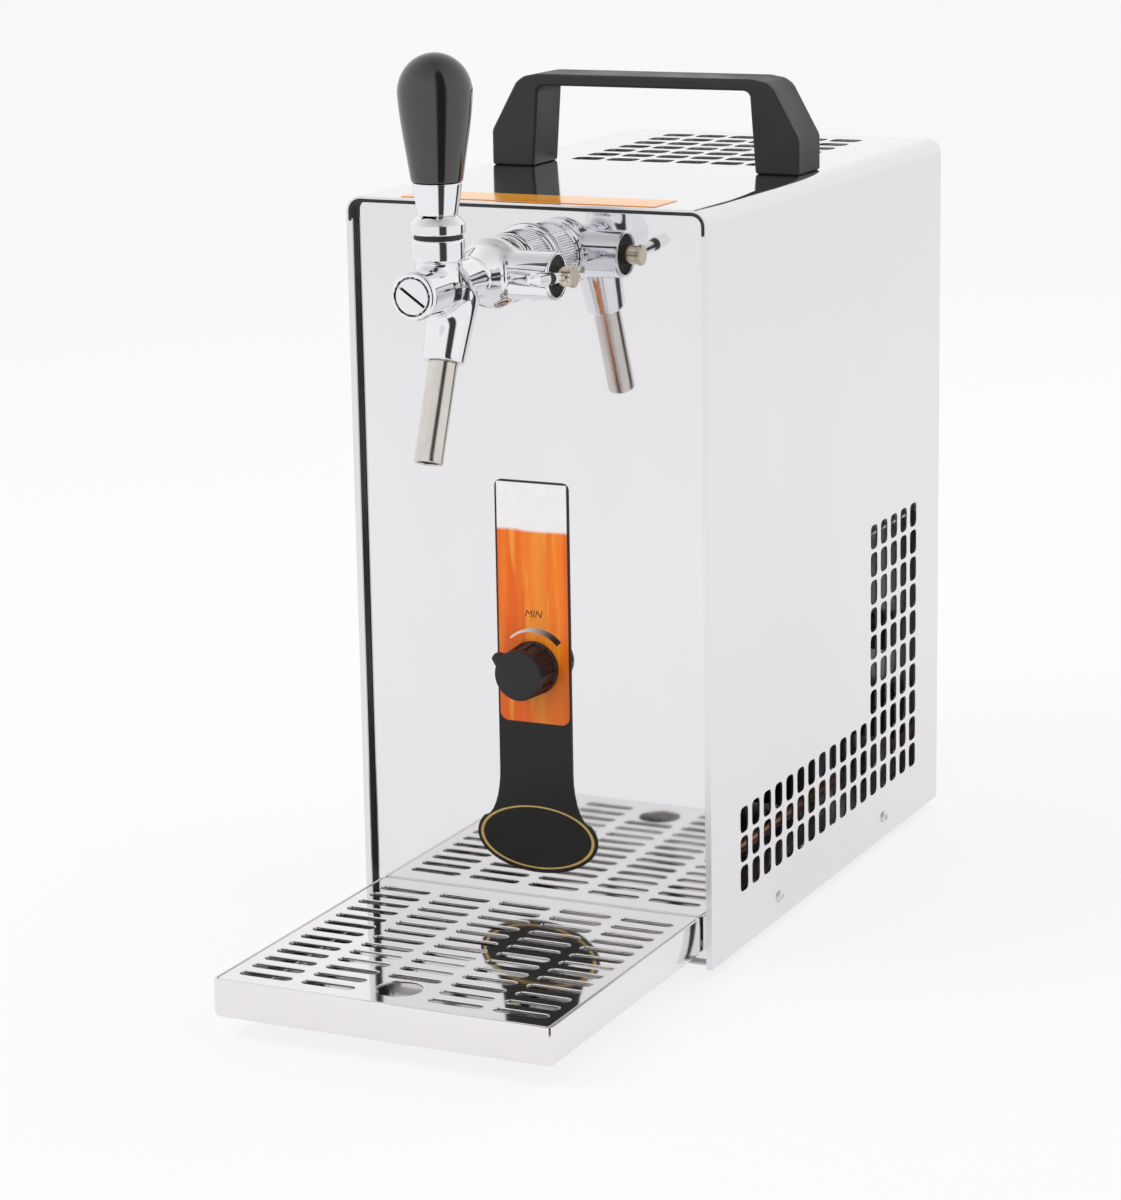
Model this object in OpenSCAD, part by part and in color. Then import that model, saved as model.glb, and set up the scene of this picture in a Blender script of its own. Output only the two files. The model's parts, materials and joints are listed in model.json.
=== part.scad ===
// Countertop beer cooler with one compensator tap, a drip tray and a carrying handle.
// Millimetres, +Z up. Pieces are drawn from the casing's front lower edge, with x to the right,
// y to the back and z up. place() then puts the origin under the middle of the whole object.

/* [Casing] */
// Outside width of the casing
body_w = 173; // [170:1:190]
// Depth of the casing, front edge to rear edge
body_d = 294; // [290:1:330]
// Height of the casing sides
body_h = 337; // [334:1:360]
// Thickness of the steel sheet
sheet_t = 1; // [0.8:0.1:1.2]
// Outside radius of the two top bends
bend_r = 7; // [6:0.5:9]
// Width of the folded front edge
hem_w = 2.8; // [2.4:0.1:3.2]
// Width of the folded rear edge
rear_flange_w = 10; // [9:0.5:12]
// Length left unfolded at each top corner
corner_open = 10; // [9:0.5:14]

/* [Side vents] */
// Width of a side slot
side_slot_w = 9; // [6:0.5:10]
// Height of a side slot
side_slot_h = 11.8; // [8:0.2:12.4]
// Pitch of the side slots, both ways
side_pitch = 13.7; // [13.2:0.1:14]
// Columns of side slots
side_cols = 17; // [12:1:17]
// Rows of side slots in the rear block
side_rows = 10; // [6:1:12]
// Rows of side slots that run the full depth
low_rows = 3; // [2:1:5]
// Columns of side slots in the rear block
rear_cols = 5; // [3:1:8]
// Last column's centre from the rear edge
side_rear_gap = 37; // [30:1:40]
// Lowest row's centre above the casing's lower edge
side_low_gap = 31.8; // [29:0.2:36]
// Corner radius of a side slot
side_slot_r = 2.4; // [1:0.2:2.8]

/* [Top vents] */
// Length of a top slot across the casing
top_slot_w = 15; // [10:0.5:16]
// Width of a top slot
top_slot_d = 11.5; // [8:0.5:14]
// Pitch of the top slots, both ways
top_pitch = 17.9; // [17:0.1:18.4]
// Columns of top slots
top_cols = 6; // [4:1:7]
// Rows of top slots
top_rows = 7; // [4:1:7]
// Last row's centre from the rear edge
top_rear_gap = 22; // [20:1:26]
// Corner radius of a top slot
top_slot_r = 3; // [1:0.5:3.5]

/* [Panels] */
// Depth of the front panel behind the casing's front edge
panel_recess = 4; // [3:0.2:6]
// Thickness of the front and rear panels
panel_t = 1.2; // [1:0.1:1.6]
// Gap between the front panel's edge and the casing, filled by the gasket
panel_gap = 2; // [1.6:0.1:2.4]
// Corner radius of the front panel
panel_r = 8; // [6:0.5:10]
// Depth of the front panel's folded sides
panel_return = 11; // [8:0.5:12]
// Height of the front panel's lower edge
panel_low = 9; // [8.6:0.1:10]
// Depth of the gasket
gasket_d = 8; // [6:0.5:9]

/* [Base] */
// Height of the rubber feet below the casing
foot_h = 4; // [3:0.5:8]
// Diameter of a rubber foot
foot_d = 24; // [18:1:28]
// Foot centres in from the casing's sides
foot_inset_x = 22; // [20:1:24]
// Foot centres in from the casing's front and rear edges
foot_inset_y = 34; // [28:1:40]
// Height of the base plate's underside above the casing's lower edge
base_rise = 1.5; // [1:0.1:1.6]
// Height of the base plate's upturned sides
base_side_h = 18; // [15:0.5:20]
// Height of the side screws above the casing's lower edge
side_screw_z = 10.4; // [9:0.2:12]
// Front side screw's distance from the front edge
side_screw_front = 80; // [60:1:90]
// Rear side screw's distance from the rear edge
side_screw_rear = 77; // [60:1:90]
// Thread diameter of the casing screws
screw_d = 3; // [2.5:0.1:3.5]
// Head diameter of the casing screws
screw_head_d = 6; // [5:0.5:7]
// Head height of the casing screws
screw_head_h = 1.5; // [1.2:0.1:2]

/* [Carrying handle] */
// Gap between the handle and each side of the casing
handle_gap = 9; // [8.5:0.5:16]
// Height of the handle above the casing
handle_h = 43; // [38:1:50]
// Depth of the handle, front to back
handle_d = 27; // [22:1:29]
// Handle's centre in front of the casing's middle
handle_shift = 6; // [4:0.5:8]
// Thickness of a leg at its foot
handle_leg_t = 21.5; // [18:0.5:24]
// Extra thickness of a leg under the grip
handle_draft = 2.6; // [1:0.2:4]
// Thickness of the grip
grip_t = 5.4; // [4.5:0.1:7]
// Height of the leg's upright outer side
handle_upright = 16.3; // [12:0.5:20]
// Width of the sloped shoulder
shoulder_w = 12.7; // [10:0.5:15]
// Width of the rounded end of the grip
crown_w = 11; // [8:0.5:14]
// Height of the rounded end of the grip
crown_h = 4; // [3:0.2:5]

/* [Labels] */
// Gap between the strip on the top's front edge and each side of the casing
strip_gap = 25.5; // [12:0.5:45]
// Width of the strip
strip_d = 23; // [15:0.5:26]
// Width of the label plate
label_w = 36; // [30:0.5:44]
// Top of the label plate below the casing's top
label_drop = 123; // [120:1:130]
// Corner radius at the label plate's top
label_r = 3; // [1:0.5:6]
// Height of the label plate's oval centre
label_oval_z = 50.5; // [46:0.5:54]
// Half the width of the oval
label_oval_a = 29.8; // [26:0.2:34]
// Half the height of the oval
label_oval_b = 16.5; // [14:0.5:18]
// Height over which the label plate flares out above the oval
flare_h = 14; // [8:1:18]
// Thickness of the label plate
label_t = 0.6; // [0.4:0.1:1]

/* [Thermostat] */
// Height of the thermostat knob's axis
knob_z = 129.5; // [120:0.5:134]
// Diameter of the knob at the panel
knob_d = 24.6; // [22.4:0.2:26]
// Diameter of the knob's face
knob_face_d = 22.4; // [21:0.2:22.4]
// Length of the knob
knob_len = 16.5; // [15.5:0.5:20]
// Flutes round the knob
knob_flutes = 12; // [8:1:16]
// Width of the knob's pointer
nib_w = 3.2; // [2:0.2:4]
// Diameter of the thermostat's shaft
knob_shaft_d = 6; // [5:0.5:7]
// Diameter of the thermostat's threaded neck
thermo_neck_d = 10; // [9:0.5:12]
// Width of the thermostat's case
thermo_w = 34; // [28:1:40]
// Depth of the thermostat's case
thermo_d = 28; // [22:1:29]
// Height of the thermostat's case
thermo_h = 24; // [20:1:28]

/* [Drip tray] */
// Length of the tray in front of the casing
tray_out = 150.6; // [130:0.2:165]
// Gap between the tray and each of the casing's folded edges
tray_side_gap = 3.7; // [3:0.1:6]
// Height of the tray's underside
tray_low = 5.5; // [5.2:0.1:5.8]
// Height of the tray
tray_h = 17; // [15:0.5:19]
// Thickness of the tray's walls
tray_t = 1.2; // [1:0.1:1.5]
// Width of the ledges that carry the grate
ledge_w = 3; // [2:0.2:5]
// Thickness of the slotted grate
grate_t = 1.2; // [1:0.1:2]
// Gap between the grate and the tray's sides
grate_gap = 0.8; // [0.4:0.1:1]
// Slots in a column of the grate
grate_rows = 13; // [9:1:13]
// Pitch of the grate's slots across the tray
grate_pitch = 30.1; // [29:0.1:31]
// Length of a grate slot
grate_slot_l = 25; // [20:0.5:26]
// Width of a grate slot
grate_slot_w = 5.4; // [4:0.2:6.4]
// Diameter of the finger hole
finger_d = 20; // [16:1:22]
// Length of the tray's tongues under the casing
tongue_l = 74; // [66:1:78]
// Width of a tongue
tongue_w = 24; // [18:1:26]
// Gap between a tongue's guide and the foot's screw beside it
tongue_gap = 5.5; // [4:0.5:8]

/* [Tap] */
// Tap's axis below the casing's top
tap_drop = 26; // [24:0.5:30]
// Lever's axis in front of the panel
tap_out = 83; // [80:0.5:88]
// Diameter of the tap's barrel
barrel_d = 21; // [20.4:0.2:22]
// Length of the hub from the lever's axis
hub_len = 25; // [25:0.5:28]
// Diameter of the hub
hub_d = 20.6; // [20.4:0.2:21.6]
// Diameter of the neck
neck_d = 19.4; // [18.6:0.2:20.4]
// Diameter of the valve chamber
chamber_d = 12; // [11.8:0.2:12.4]
// Diameter of the compensator housing
housing_d = 21; // [20.4:0.2:22]
// Length of the compensator housing from the tap's axis
housing_len = 31.5; // [30:0.5:36]
// Compensator's axis in front of the panel
housing_out = 35; // [34.5:0.5:36]
// Diameter of the tap's rear bulb
bulb_d = 29; // [28:0.5:31]
// Length of the tap's rear bulb
bulb_len = 8; // [6:0.5:10]
// Length of the cone in front of the bulb
cone_len = 18; // [14:0.5:22]
// Diameter of the plug in the hub
plug_d = 15.6; // [15:0.2:15.6]
// Lever ball's centre above the tap's axis
pivot_rise = 18.9; // [18.6:0.1:19.2]
// Diameter of the lever's ball
ball_d = 10; // [9.6:0.1:10.4]
// Lower edge of the bonnet's collar below the lever ball's centre
collar_drop = 6.9; // [6:0.1:7.4]
// Height of the bonnet's collar
collar_h = 9; // [8.6:0.1:9.4]
// Diameter of the bonnet's collar
rim_d = 22.1; // [21:0.1:22.6]
// Thickness of the black ring under the bonnet
ring_t = 1.9; // [1.5:0.1:2.3]
// Diameter of the bonnet
bonnet_d = 22.8; // [22:0.2:24]
// Radius of the bonnet's dome
dome_r = 14; // [13.8:0.1:14.4]

/* [Tap lever] */
// Height of the ferrule's top above the tap's axis
ferrule_top = 44.2; // [42:0.2:48]
// Diameter of the ferrule's lower end
ferrule_low_d = 16.6; // [16:0.2:17.4]
// Diameter of the ferrule's upper end
ferrule_top_d = 21.1; // [20:0.1:22]
// Length of the lever's grip
grip_len = 52.9; // [45:0.1:60]
// Largest diameter of the lever's grip
grip_d = 31.2; // [28:0.2:34]
// Diameter of the lever's rod
rod_d = 6; // [5.6:0.1:6.2]
// Length of the rod inside the grip
rod_in = 22; // [16:1:30]
// Furthest forward tilt of the lever, degrees
lever_tilt = 20; // [15:1:20]

/* [Valve] */
// Valve seat behind the lever's axis
seat_back = 13; // [12.6:0.1:13.2]
// Thickness of the valve seat
seat_t = 2.5; // [2:0.1:3]
// Diameter of the hole in the valve seat
seat_hole_d = 8; // [7.4:0.1:8.4]
// Length of the chamber behind the valve seat
rear_chamber_len = 17.5; // [17:0.5:19]
// Piston's length in front of the lever's axis
piston_ahead = 18; // [14:0.5:18]
// Piston's length behind the lever's axis
piston_behind = 5; // [4:0.5:6]
// Diameter of the piston's rod
piston_rod_d = 4.8; // [4:0.2:5.4]
// Diameter of the ball on the lever's finger
finger_ball_d = 6.2; // [5.6:0.1:6.6]
// Diameter of the lever's finger
finger_rod_d = 2.8; // [2.4:0.1:3.2]
// Thickness of the piston's seal
seal_t = 3; // [2:0.1:3.4]
// Diameter of the piston's seal
seal_d = 11.2; // [10:0.1:11.6]

/* [Spout] */
// Spout's forward tilt from upright, degrees
spout_tilt = 21.7; // [18:0.1:23]
// Outside diameter of the spout
spout_d = 12.3; // [11.8:0.1:12.6]
// Bore of the spout
spout_bore = 9.4; // [8.8:0.1:9.8]
// Length of the spout outside its socket
spout_len = 43; // [30:1:60]
// Length of the spout inside its socket
spout_in = 9; // [7:0.5:10]
// Socket's mouth below the tap's axis
socket_drop = 31.3; // [30:0.1:34]
// Socket's mouth behind the lever's axis
socket_shift = 1.9; // [1:0.1:2.4]
// Outside diameter of the socket's mouth
socket_d = 18; // [17.4:0.2:19]
// Diameter of the port between the chamber and the spout
port_d = 7; // [6:0.2:7.4]

/* [Compensator] */
// Diameter of the compensator's shaft
comp_shaft_d = 8.5; // [8:0.1:9]
// Shaft's length beyond the housing
comp_shaft_out = 7.9; // [7.4:0.1:9]
// Thickness of the cap on the shaft's end
shaft_cap_t = 1.8; // [1.4:0.1:2]
// Diameter of the cap on the shaft's end
shaft_cap_d = 9.4; // [9.2:0.1:10]
// Thickness of the black gland ring
gland_t = 3; // [2:0.2:4]
// Depth of the gland ring behind the housing's end
gland_in = 1.4; // [1:0.1:2]
// Wall of the housing round the gland ring
gland_wall = 1.5; // [1.2:0.1:1.8]
// Length of the small lever from the shaft's axis
comp_lever_len = 36; // [30:0.5:40]
// Diameter of the small lever
comp_lever_d = 6; // [5.4:0.2:6.2]
// Small lever's upward tilt at rest, degrees
comp_tilt = 5; // [0:1:10]
// Diameter of the shaft's eccentric pin
pin_d = 2.4; // [2:0.1:2.6]
// Pin's distance from the shaft's axis
pin_throw = 2.4; // [2.2:0.1:2.6]
// Length of the flow cone in front of the pin
flow_cone_len = 18; // [15:0.5:18]
// Length of the flow cone behind the pin
flow_cone_tail = 4; // [3:0.5:5]

/* [Mounting nut] */
// Diameter of the knurled collar nut
collar_d = 30; // [29:0.5:32]
// Length of the knurled collar nut
collar_len = 24; // [23:0.5:24]
// Wall of the collar nut round the tap's tail
nut_wall = 4; // [3.6:0.1:4.4]
// Depth of the tap's tail in the collar nut
tail_in = 10; // [9:0.5:11]
// Depth of the shank in the tap's tail
shank_socket = 6; // [5:0.5:7]
// Diameter of the flange on the panel
flange_d = 34; // [32:0.5:38]
// Thickness of the flange on the panel
flange_t = 2; // [1.6:0.1:2.4]
// Thread diameter of the shank
shank_d = 16; // [15.4:0.2:16.6]
// Bore of the shank
shank_bore = 6; // [4:0.5:7]
// Length of the shank behind the panel
shank_in = 28; // [26:1:29]

/* [Cooling unit] */
// Height of the shelf's top
shelf_z = 156; // [154:1:158]
// Diameter of the aluminium core
core_d = 68; // [60:1:70]
// Diameter of the beer tube
beer_tube_d = 7; // [6:0.5:8]
// Bore of the beer tube
beer_tube_bore = 4; // [3:0.5:5]
// Diameter of the refrigerant tube in the evaporator
evap_tube_d = 7; // [6.5:0.5:8]
// Gap between the windings
coil_gap = 0.4; // [0.3:0.1:0.6]
// Thickness of the insulation at its thinnest
foam_t = 12; // [10:1:13]
// Gap between the front panel and the insulation
foam_gap = 31; // [30:1:36]

/* [Compressor] */
// Diameter of the compressor
compressor_d = 96; // [90:1:100]
// Height of the compressor over its feet
compressor_h = 112; // [104:1:116]
// Compressor's axis behind the cooling unit's
compressor_back = 34; // [30:1:38]
// Height of the rubber grommets
grommet_h = 9; // [8:0.5:12]
// Diameter of a grommet
grommet_d = 14; // [10:1:15]
// Diameter of the refrigerant pipes
pipe_d = 6; // [5:0.5:6.4]
// Diameter of the filter drier
drier_d = 16; // [14:1:18]
// Length of the filter drier
drier_len = 56; // [40:1:70]

/* [Condenser and fan] */
// Gap between the condenser and the casing's left side
condenser_side = 7.5; // [6:0.5:9]
// Depth of the condenser
condenser_d = 26; // [22:1:28]
// Height of the condenser's fins
condenser_h = 132; // [131:1:135]
// Share of the free depth that lies behind the condenser
condenser_gap_share = 0.52; // [0.4:0.02:0.6]
// Pitch of the condenser's fins
fin_pitch = 6; // [5:0.5:8]
// Thickness of a fin
fin_t = 1; // [0.6:0.1:1.4]
// Depth of the fan
fan_d = 25; // [22:1:27]
// Wall of the fan's frame at its thinnest
fan_wall = 3; // [2.5:0.5:6]
// Height of the condenser that the fan's frame leaves bare
fan_margin = 12; // [12:1:20]
// Blades of the fan
fan_blades = 7; // [5:1:9]
// Radius of the fan's hub
hub_r = 20; // [18:0.5:24]
// Radius of the fan's motor
motor_r = 16; // [13:0.5:16]

/* [Air pump] */
// Width of the air pump
pump_w = 46; // [40:1:48]
// Height of the air pump
pump_h = 48; // [44:1:56]
// Depth of the air pump
pump_d = 52; // [40:1:60]
// Gap between the insulation and the air pump
pump_gap = 8; // [5:1:20]
// Outside diameter of the air hose
hose_d = 10; // [8:0.5:12]
// Bore of the air hose
hose_bore = 5; // [4:0.5:6]

/* [Rear fittings] */
// Height of the beer fitting below the casing's top
beer_fitting_drop = 30; // [28:0.5:31]
// Height of the air fitting above the shelf
air_fitting_rise = 34; // [28:1:38]
// Air fitting's distance from the casing's middle
air_fitting_x = 50; // [46:1:52]
// Outside diameter of a hose tail
tail_d = 8; // [7:0.5:9]
// Length of a hose tail
tail_len = 17; // [14:1:22]
// Bore of a hose tail
tail_bore = 4.8; // [4:0.2:5.6]
// Thread diameter of a fitting
fitting_d = 12; // [11:0.5:14]
// Thickness of a fitting's hexagon
hex_t = 7; // [5:0.5:8]
// Width of a fitting's hexagon over its corners
hex_d = 20; // [19:0.5:22]

/* [Power inlet and switch] */
// Gap between the power inlet and the casing's side
inlet_gap = 14; // [12:0.5:15]
// Height of the power inlet's centre
inlet_z = 45; // [40:1:50]
// Width of the power inlet
inlet_w = 27; // [24:0.5:28]
// Height of the power inlet
inlet_h = 20; // [18:0.5:24]
// Depth of the power inlet behind its flange
inlet_deep = 22; // [20:0.5:24]
// Height of the switch's centre
switch_z = 86; // [80:1:95]
// Width of the switch
switch_w = 19.4; // [18:0.2:22]
// Height of the switch
switch_h = 13.4; // [12:0.2:15]
// Swing of the rocker, degrees
rocker_swing = 16; // [12:1:18]

/* [Hidden] */
$fn = 64;

// Clearances and overruns that many pieces share
cut = 1;        // overrun of a cut
sink = 1;       // reach of one shape into another of the same piece
fit = 0.05;     // radial gap of a fixed fit
run = 0.1;      // radial gap of a moving fit
seat = 0.2;     // gap between pieces that are pressed together
slack = 0.3;    // gap between sheet pieces

// Inside of the casing
inner_hw = body_w / 2 - sheet_t;
inner_top = body_h - sheet_t;
rear_face = body_d - sheet_t;
rear_y = rear_face - panel_t;
panel_back = panel_recess + panel_t;
panel_hw = inner_hw - panel_gap;
panel_top = inner_top - panel_gap;
base_top = base_rise + sheet_t;
gasket_end = sheet_t + gasket_d;
handle_w = body_w - 2 * handle_gap;
strip_w = body_w - 2 * strip_gap;
inlet_x = inner_hw - inlet_gap - inlet_w / 2;

// Overall length, which sets the origin
tail_end = hex_t + tail_len - sheet_t;
front_y = -(body_d + tail_end - tray_out) / 2;

// Places along the tap
tap_z = body_h - tap_drop;
lever_y = panel_recess - tap_out;
hub_y = lever_y - hub_len;
seat_y = lever_y + seat_back;
chamber_end = seat_y + seat_t + rear_chamber_len;
housing_y = panel_recess - housing_out;
collar_y = panel_recess - flange_t - collar_len;
bulb_y = collar_y - bulb_len;
tail_y = collar_y + tail_in;
tap_tail_d = collar_d - 2 * nut_wall;
socket_y = lever_y + socket_shift;
socket_z = tap_z - socket_drop;
socket_len = (socket_drop - spout_bore / 5) / cos(spout_tilt);
beer_bore = chamber_d - 2 * run;
// Heights above the tap's axis
collar_low = pivot_rise - collar_drop;
collar_top = collar_low + collar_h;
bonnet_low = collar_top + ring_t;

// Places of the cooling unit
beer_in_d = core_d + 2 * coil_gap;
beer_out_d = beer_in_d + 2 * beer_tube_d;
evap_in_d = beer_out_d + 2 * coil_gap;
evap_out_d = evap_in_d + 2 * evap_tube_d;
evap_mid_r = (evap_in_d + evap_out_d) / 4;
cavity_d = evap_out_d + 2 * coil_gap;
foam_hw = cavity_d / 2 + foam_t;
foam_front = panel_back + foam_gap;
cool_y = foam_front + foam_hw;
foam_floor = shelf_z + foam_t;
suction_y = cool_y + evap_mid_r;
compressor_y = cool_y + compressor_back;
compressor_end = compressor_y + compressor_d / 2;
// The condenser ends beside the liquid line
condenser_right = evap_mid_r - pipe_d / 2 - slack;
condenser_w = inner_hw - condenser_side + condenser_right;
condenser_gap = (body_d - compressor_end - fan_d - condenser_d) * condenser_gap_share;
fan_x = condenser_right - condenser_w / 2;
fan_w = min(condenser_w, condenser_h - fan_margin);
fan_bore = fan_w - 2 * fan_wall;
pipe_hole_d = pipe_d + 4 * sink;
beer_z = body_h - beer_fitting_drop;
air_z = shelf_z + air_fitting_rise;

function corner(cx, cy, r, start, steps) =
    [for (i = [0 : steps]) let (a = start + 90 * i / steps) [cx + r * cos(a), cy + r * sin(a)]];
function round_rect(w, h, r, steps) = concat(
    corner(w / 2 - r, h / 2 - r, r, 0, steps), corner(r - w / 2, h / 2 - r, r, 90, steps),
    corner(r - w / 2, r - h / 2, r, 180, steps), corner(w / 2 - r, r - h / 2, r, 270, steps));
function flip(list) = [for (i = [len(list) - 1 : -1 : 0]) [-list[i][0], list[i][1]]];

module place() translate([0, front_y, foot_h]) children();
module along_x(x, y, z) translate([x, y, z]) rotate([0, 90, 0]) children();
module along_y(x, y, z) translate([x, y, z]) rotate([-90, 0, 0]) children();
module both_sides() {
    children();
    mirror([1, 0, 0]) children();
}
// A plate with the outline given in x and z, from y to y + t
module upright(y, t) translate([0, y + t, 0]) rotate([90, 0, 0]) linear_extrude(t) children();
// A plate with the outline given in y and z, from x to x + t
module sideways(x, t) translate([x, 0, 0]) rotate([90, 0, 90]) linear_extrude(t) children();
module tube(d, bore, h) difference() {
    cylinder(d = d, h = h);
    translate([0, 0, -cut]) cylinder(d = bore, h = h + 2 * cut);
}
// A round piece with rounded rims
module soft_disc(d, h, r) rotate_extrude() {
    square([d / 2 - r, h]);
    translate([0, r]) square([d / 2, h - 2 * r]);
    for (z = [r, h - r]) translate([d / 2 - r, z]) circle(r, $fn = 32);
}
module arch(hw, low, top, r) {
    translate([-hw, low]) square([2 * hw, top - low - r]);
    translate([r - hw, low]) square([2 * (hw - r), top - low]);
    for (s = [-1, 1]) translate([s * (hw - r), top - r]) circle(r);
}

// Casing
handle_y = body_d / 2 - handle_shift;
handle_screw_x = handle_w / 2 - handle_leg_t / 2;
handle_screw_d = 5;
screw_ys = [side_screw_front, body_d - side_screw_rear];
rear_screw_zs = [base_side_h + 4 * screw_d, body_h / 2, body_h - 10 * screw_d];
rear_screw_x = (body_w - rear_flange_w) / 2;
module screw_hole() circle(d = screw_d + 2 * run, $fn = 24);
module side_vents() for (c = [0 : side_cols - 1], r = [0 : side_rows - 1])
    if (r < low_rows || c >= side_cols - rear_cols)
        translate([body_d - side_rear_gap - (side_cols - 1 - c) * side_pitch,
            side_low_gap + r * side_pitch])
            polygon(round_rect(side_slot_w, side_slot_h, side_slot_r, 2));
module top_vents() for (c = [0 : top_cols - 1], r = [0 : top_rows - 1])
    translate([(c - (top_cols - 1) / 2) * top_pitch, body_d - top_rear_gap - r * top_pitch])
        polygon(round_rect(top_slot_w, top_slot_d, top_slot_r, 2));
module casing_side() {
    sideways(body_w / 2 - sheet_t, sheet_t) difference() {
        square([body_d, body_h - bend_r]);
        side_vents();
        for (y = screw_ys) translate([y, side_screw_z]) screw_hole();
    }
    translate([body_w / 2 - bend_r, body_d, body_h - bend_r]) rotate([90, 0, 0])
        linear_extrude(body_d) intersection() {
            difference() {
                circle(bend_r);
                circle(bend_r - sheet_t);
            }
            square(bend_r);
        }
    translate([body_w / 2 - hem_w, 0, 0]) cube([hem_w, sheet_t, body_h - corner_open]);
    upright(rear_face, sheet_t) difference() {
        translate([body_w / 2 - rear_flange_w, 0]) square([rear_flange_w, body_h - corner_open]);
        for (z = rear_screw_zs) translate([rear_screw_x, z]) screw_hole();
    }
}
module casing() color("silver") place() {
    both_sides() casing_side();
    translate([0, 0, body_h - sheet_t]) linear_extrude(sheet_t) difference() {
        translate([bend_r - body_w / 2, 0]) square([body_w - 2 * bend_r, body_d]);
        top_vents();
        for (s = [-1, 1]) translate([s * handle_screw_x, handle_y])
            circle(d = handle_screw_d + 2 * run, $fn = 32);
    }
    for (y = [0, rear_face]) translate([corner_open - body_w / 2, y, body_h - hem_w])
        cube([body_w - 2 * corner_open, sheet_t, hem_w]);
}

// Panels and gasket
rear_hw = inner_hw - slack;
fin_low = base_top + 4 * sheet_t;
fan_z = fin_low + condenser_h / 2;
fan_slot_w = 12;
fan_slot_h = 8;
fan_slot_pitch = 15;
fan_side_cols = floor(fan_w / 2 / fan_slot_pitch) - 1;
module front_panel() color("gainsboro") place() {
    upright(panel_recess, panel_t) difference() {
        arch(panel_hw, panel_low, panel_top, panel_r);
        translate([0, tap_z]) circle(d = shank_d + 4 * run);
        translate([0, knob_z]) circle(d = thermo_neck_d + 2 * run);
    }
    for (s = [0, 1]) mirror([s, 0, 0]) translate([panel_hw - panel_t, panel_recess, base_top])
        cube([panel_t, panel_t + panel_return, panel_top - panel_r - base_top]);
}
module panel_gasket() color("black") place() upright(sheet_t, gasket_d) difference() {
    arch(inner_hw, panel_low, inner_top, bend_r - sheet_t);
    translate([0, -cut]) arch(panel_hw, panel_low, panel_top + cut, panel_r);
}
module switch_outline(gap) translate([inlet_x - switch_w / 2 - gap, switch_z - switch_h / 2 - gap])
    square([switch_w + 2 * gap, switch_h + 2 * gap]);
module inlet_outline(gap) translate([inlet_x - inlet_w / 2 - gap, inlet_z - inlet_h / 2 - gap])
    square([inlet_w + 2 * gap, inlet_h + 2 * gap]);
module rear_panel() color("silver") place() upright(rear_y, panel_t) difference() {
    arch(rear_hw, base_rise, inner_top - slack, bend_r - sheet_t);
    for (c = [-fan_side_cols : fan_side_cols], r = [-3 : 4])
        translate([fan_x + c * fan_slot_pitch, fan_z + r * side_pitch])
            polygon(round_rect(fan_slot_w, fan_slot_h, side_slot_r, 2));
    translate([0, beer_z]) circle(d = fitting_d + 2 * run);
    translate([-air_fitting_x, air_z]) circle(d = fitting_d + 2 * run);
    inlet_outline(slack);
    switch_outline(slack);
    for (s = [-1, 1], z = rear_screw_zs) translate([s * rear_screw_x, z]) screw_hole();
}

// Base plate with its feet, and the shelf on its four posts
base_hw = inner_hw - slack;
base_front = sheet_t + slack;
upturn_y = gasket_end + cut;
foot_xs = [-1, 1] * (body_w / 2 - foot_inset_x);
foot_ys = [foot_inset_y, body_d - foot_inset_y];
foot_taper = 3;
foot_screw_d = 4;
foot_head_d = 9;
foot_head_h = 2.4;
foot_head_lift = 0.6;
foot_nut_h = 3;
module base_plate() color("dimgray") place() {
    translate([0, 0, base_rise]) linear_extrude(sheet_t) difference() {
        translate([-base_hw, base_front]) square([2 * base_hw, rear_y - base_front]);
        for (x = foot_xs, y = foot_ys) translate([x, y]) circle(d = foot_screw_d + 2 * run, $fn = 32);
    }
    for (s = [0, 1]) mirror([s, 0, 0]) sideways(base_hw - sheet_t, sheet_t) difference() {
        translate([upturn_y, base_rise]) square([rear_y - upturn_y, base_side_h - base_rise]);
        for (y = screw_ys) translate([y, side_screw_z]) screw_hole();
    }
}
// A foot's recess holds the head of its screw
module feet() color([0.12, 0.12, 0.12]) place() for (x = foot_xs, y = foot_ys)
    translate([x, y, -foot_h]) difference() {
        cylinder(d1 = foot_d - foot_taper, d2 = foot_d, h = foot_h + base_rise);
        translate([0, 0, -cut]) cylinder(d = foot_head_d + cut, h = foot_head_lift + foot_head_h + cut);
        cylinder(d = foot_screw_d + 2 * run, h = foot_h + base_rise + cut, $fn = 32);
    }
module foot_screws() color("silver") place() for (x = foot_xs, y = foot_ys)
    translate([x, y, foot_head_lift - foot_h]) {
        cylinder(d = foot_head_d, h = foot_head_h);
        cylinder(d = foot_screw_d, h = foot_h - foot_head_lift + base_top + foot_nut_h, $fn = 32);
    }
post_w = 12;
post_front = gasket_end + post_w - sheet_t;
post_rear = rear_y - post_w + 2 * sheet_t;
shelf_hw = base_hw - sheet_t - slack;
shelf_hole_d = 16;
shelf_hole_pitch = 28;
module mid_shelf() color("lightgray") place() {
    translate([0, 0, shelf_z - sheet_t]) linear_extrude(sheet_t) difference() {
        translate([-shelf_hw, post_front]) square([2 * shelf_hw, post_rear - post_front]);
        translate([0, suction_y]) circle(d = pipe_hole_d);
        translate([evap_mid_r, cool_y]) circle(d = pipe_hole_d);
        for (c = [-2 : 2]) translate([c * shelf_hole_pitch, cool_y + foam_hw + shelf_hole_d])
            circle(d = shelf_hole_d);
    }
    for (s = [0, 1], y = [post_front, post_rear - post_w]) mirror([s, 0, 0])
        translate([shelf_hw - sheet_t, y, base_top]) cube([sheet_t, post_w, shelf_z - base_top]);
}

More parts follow.
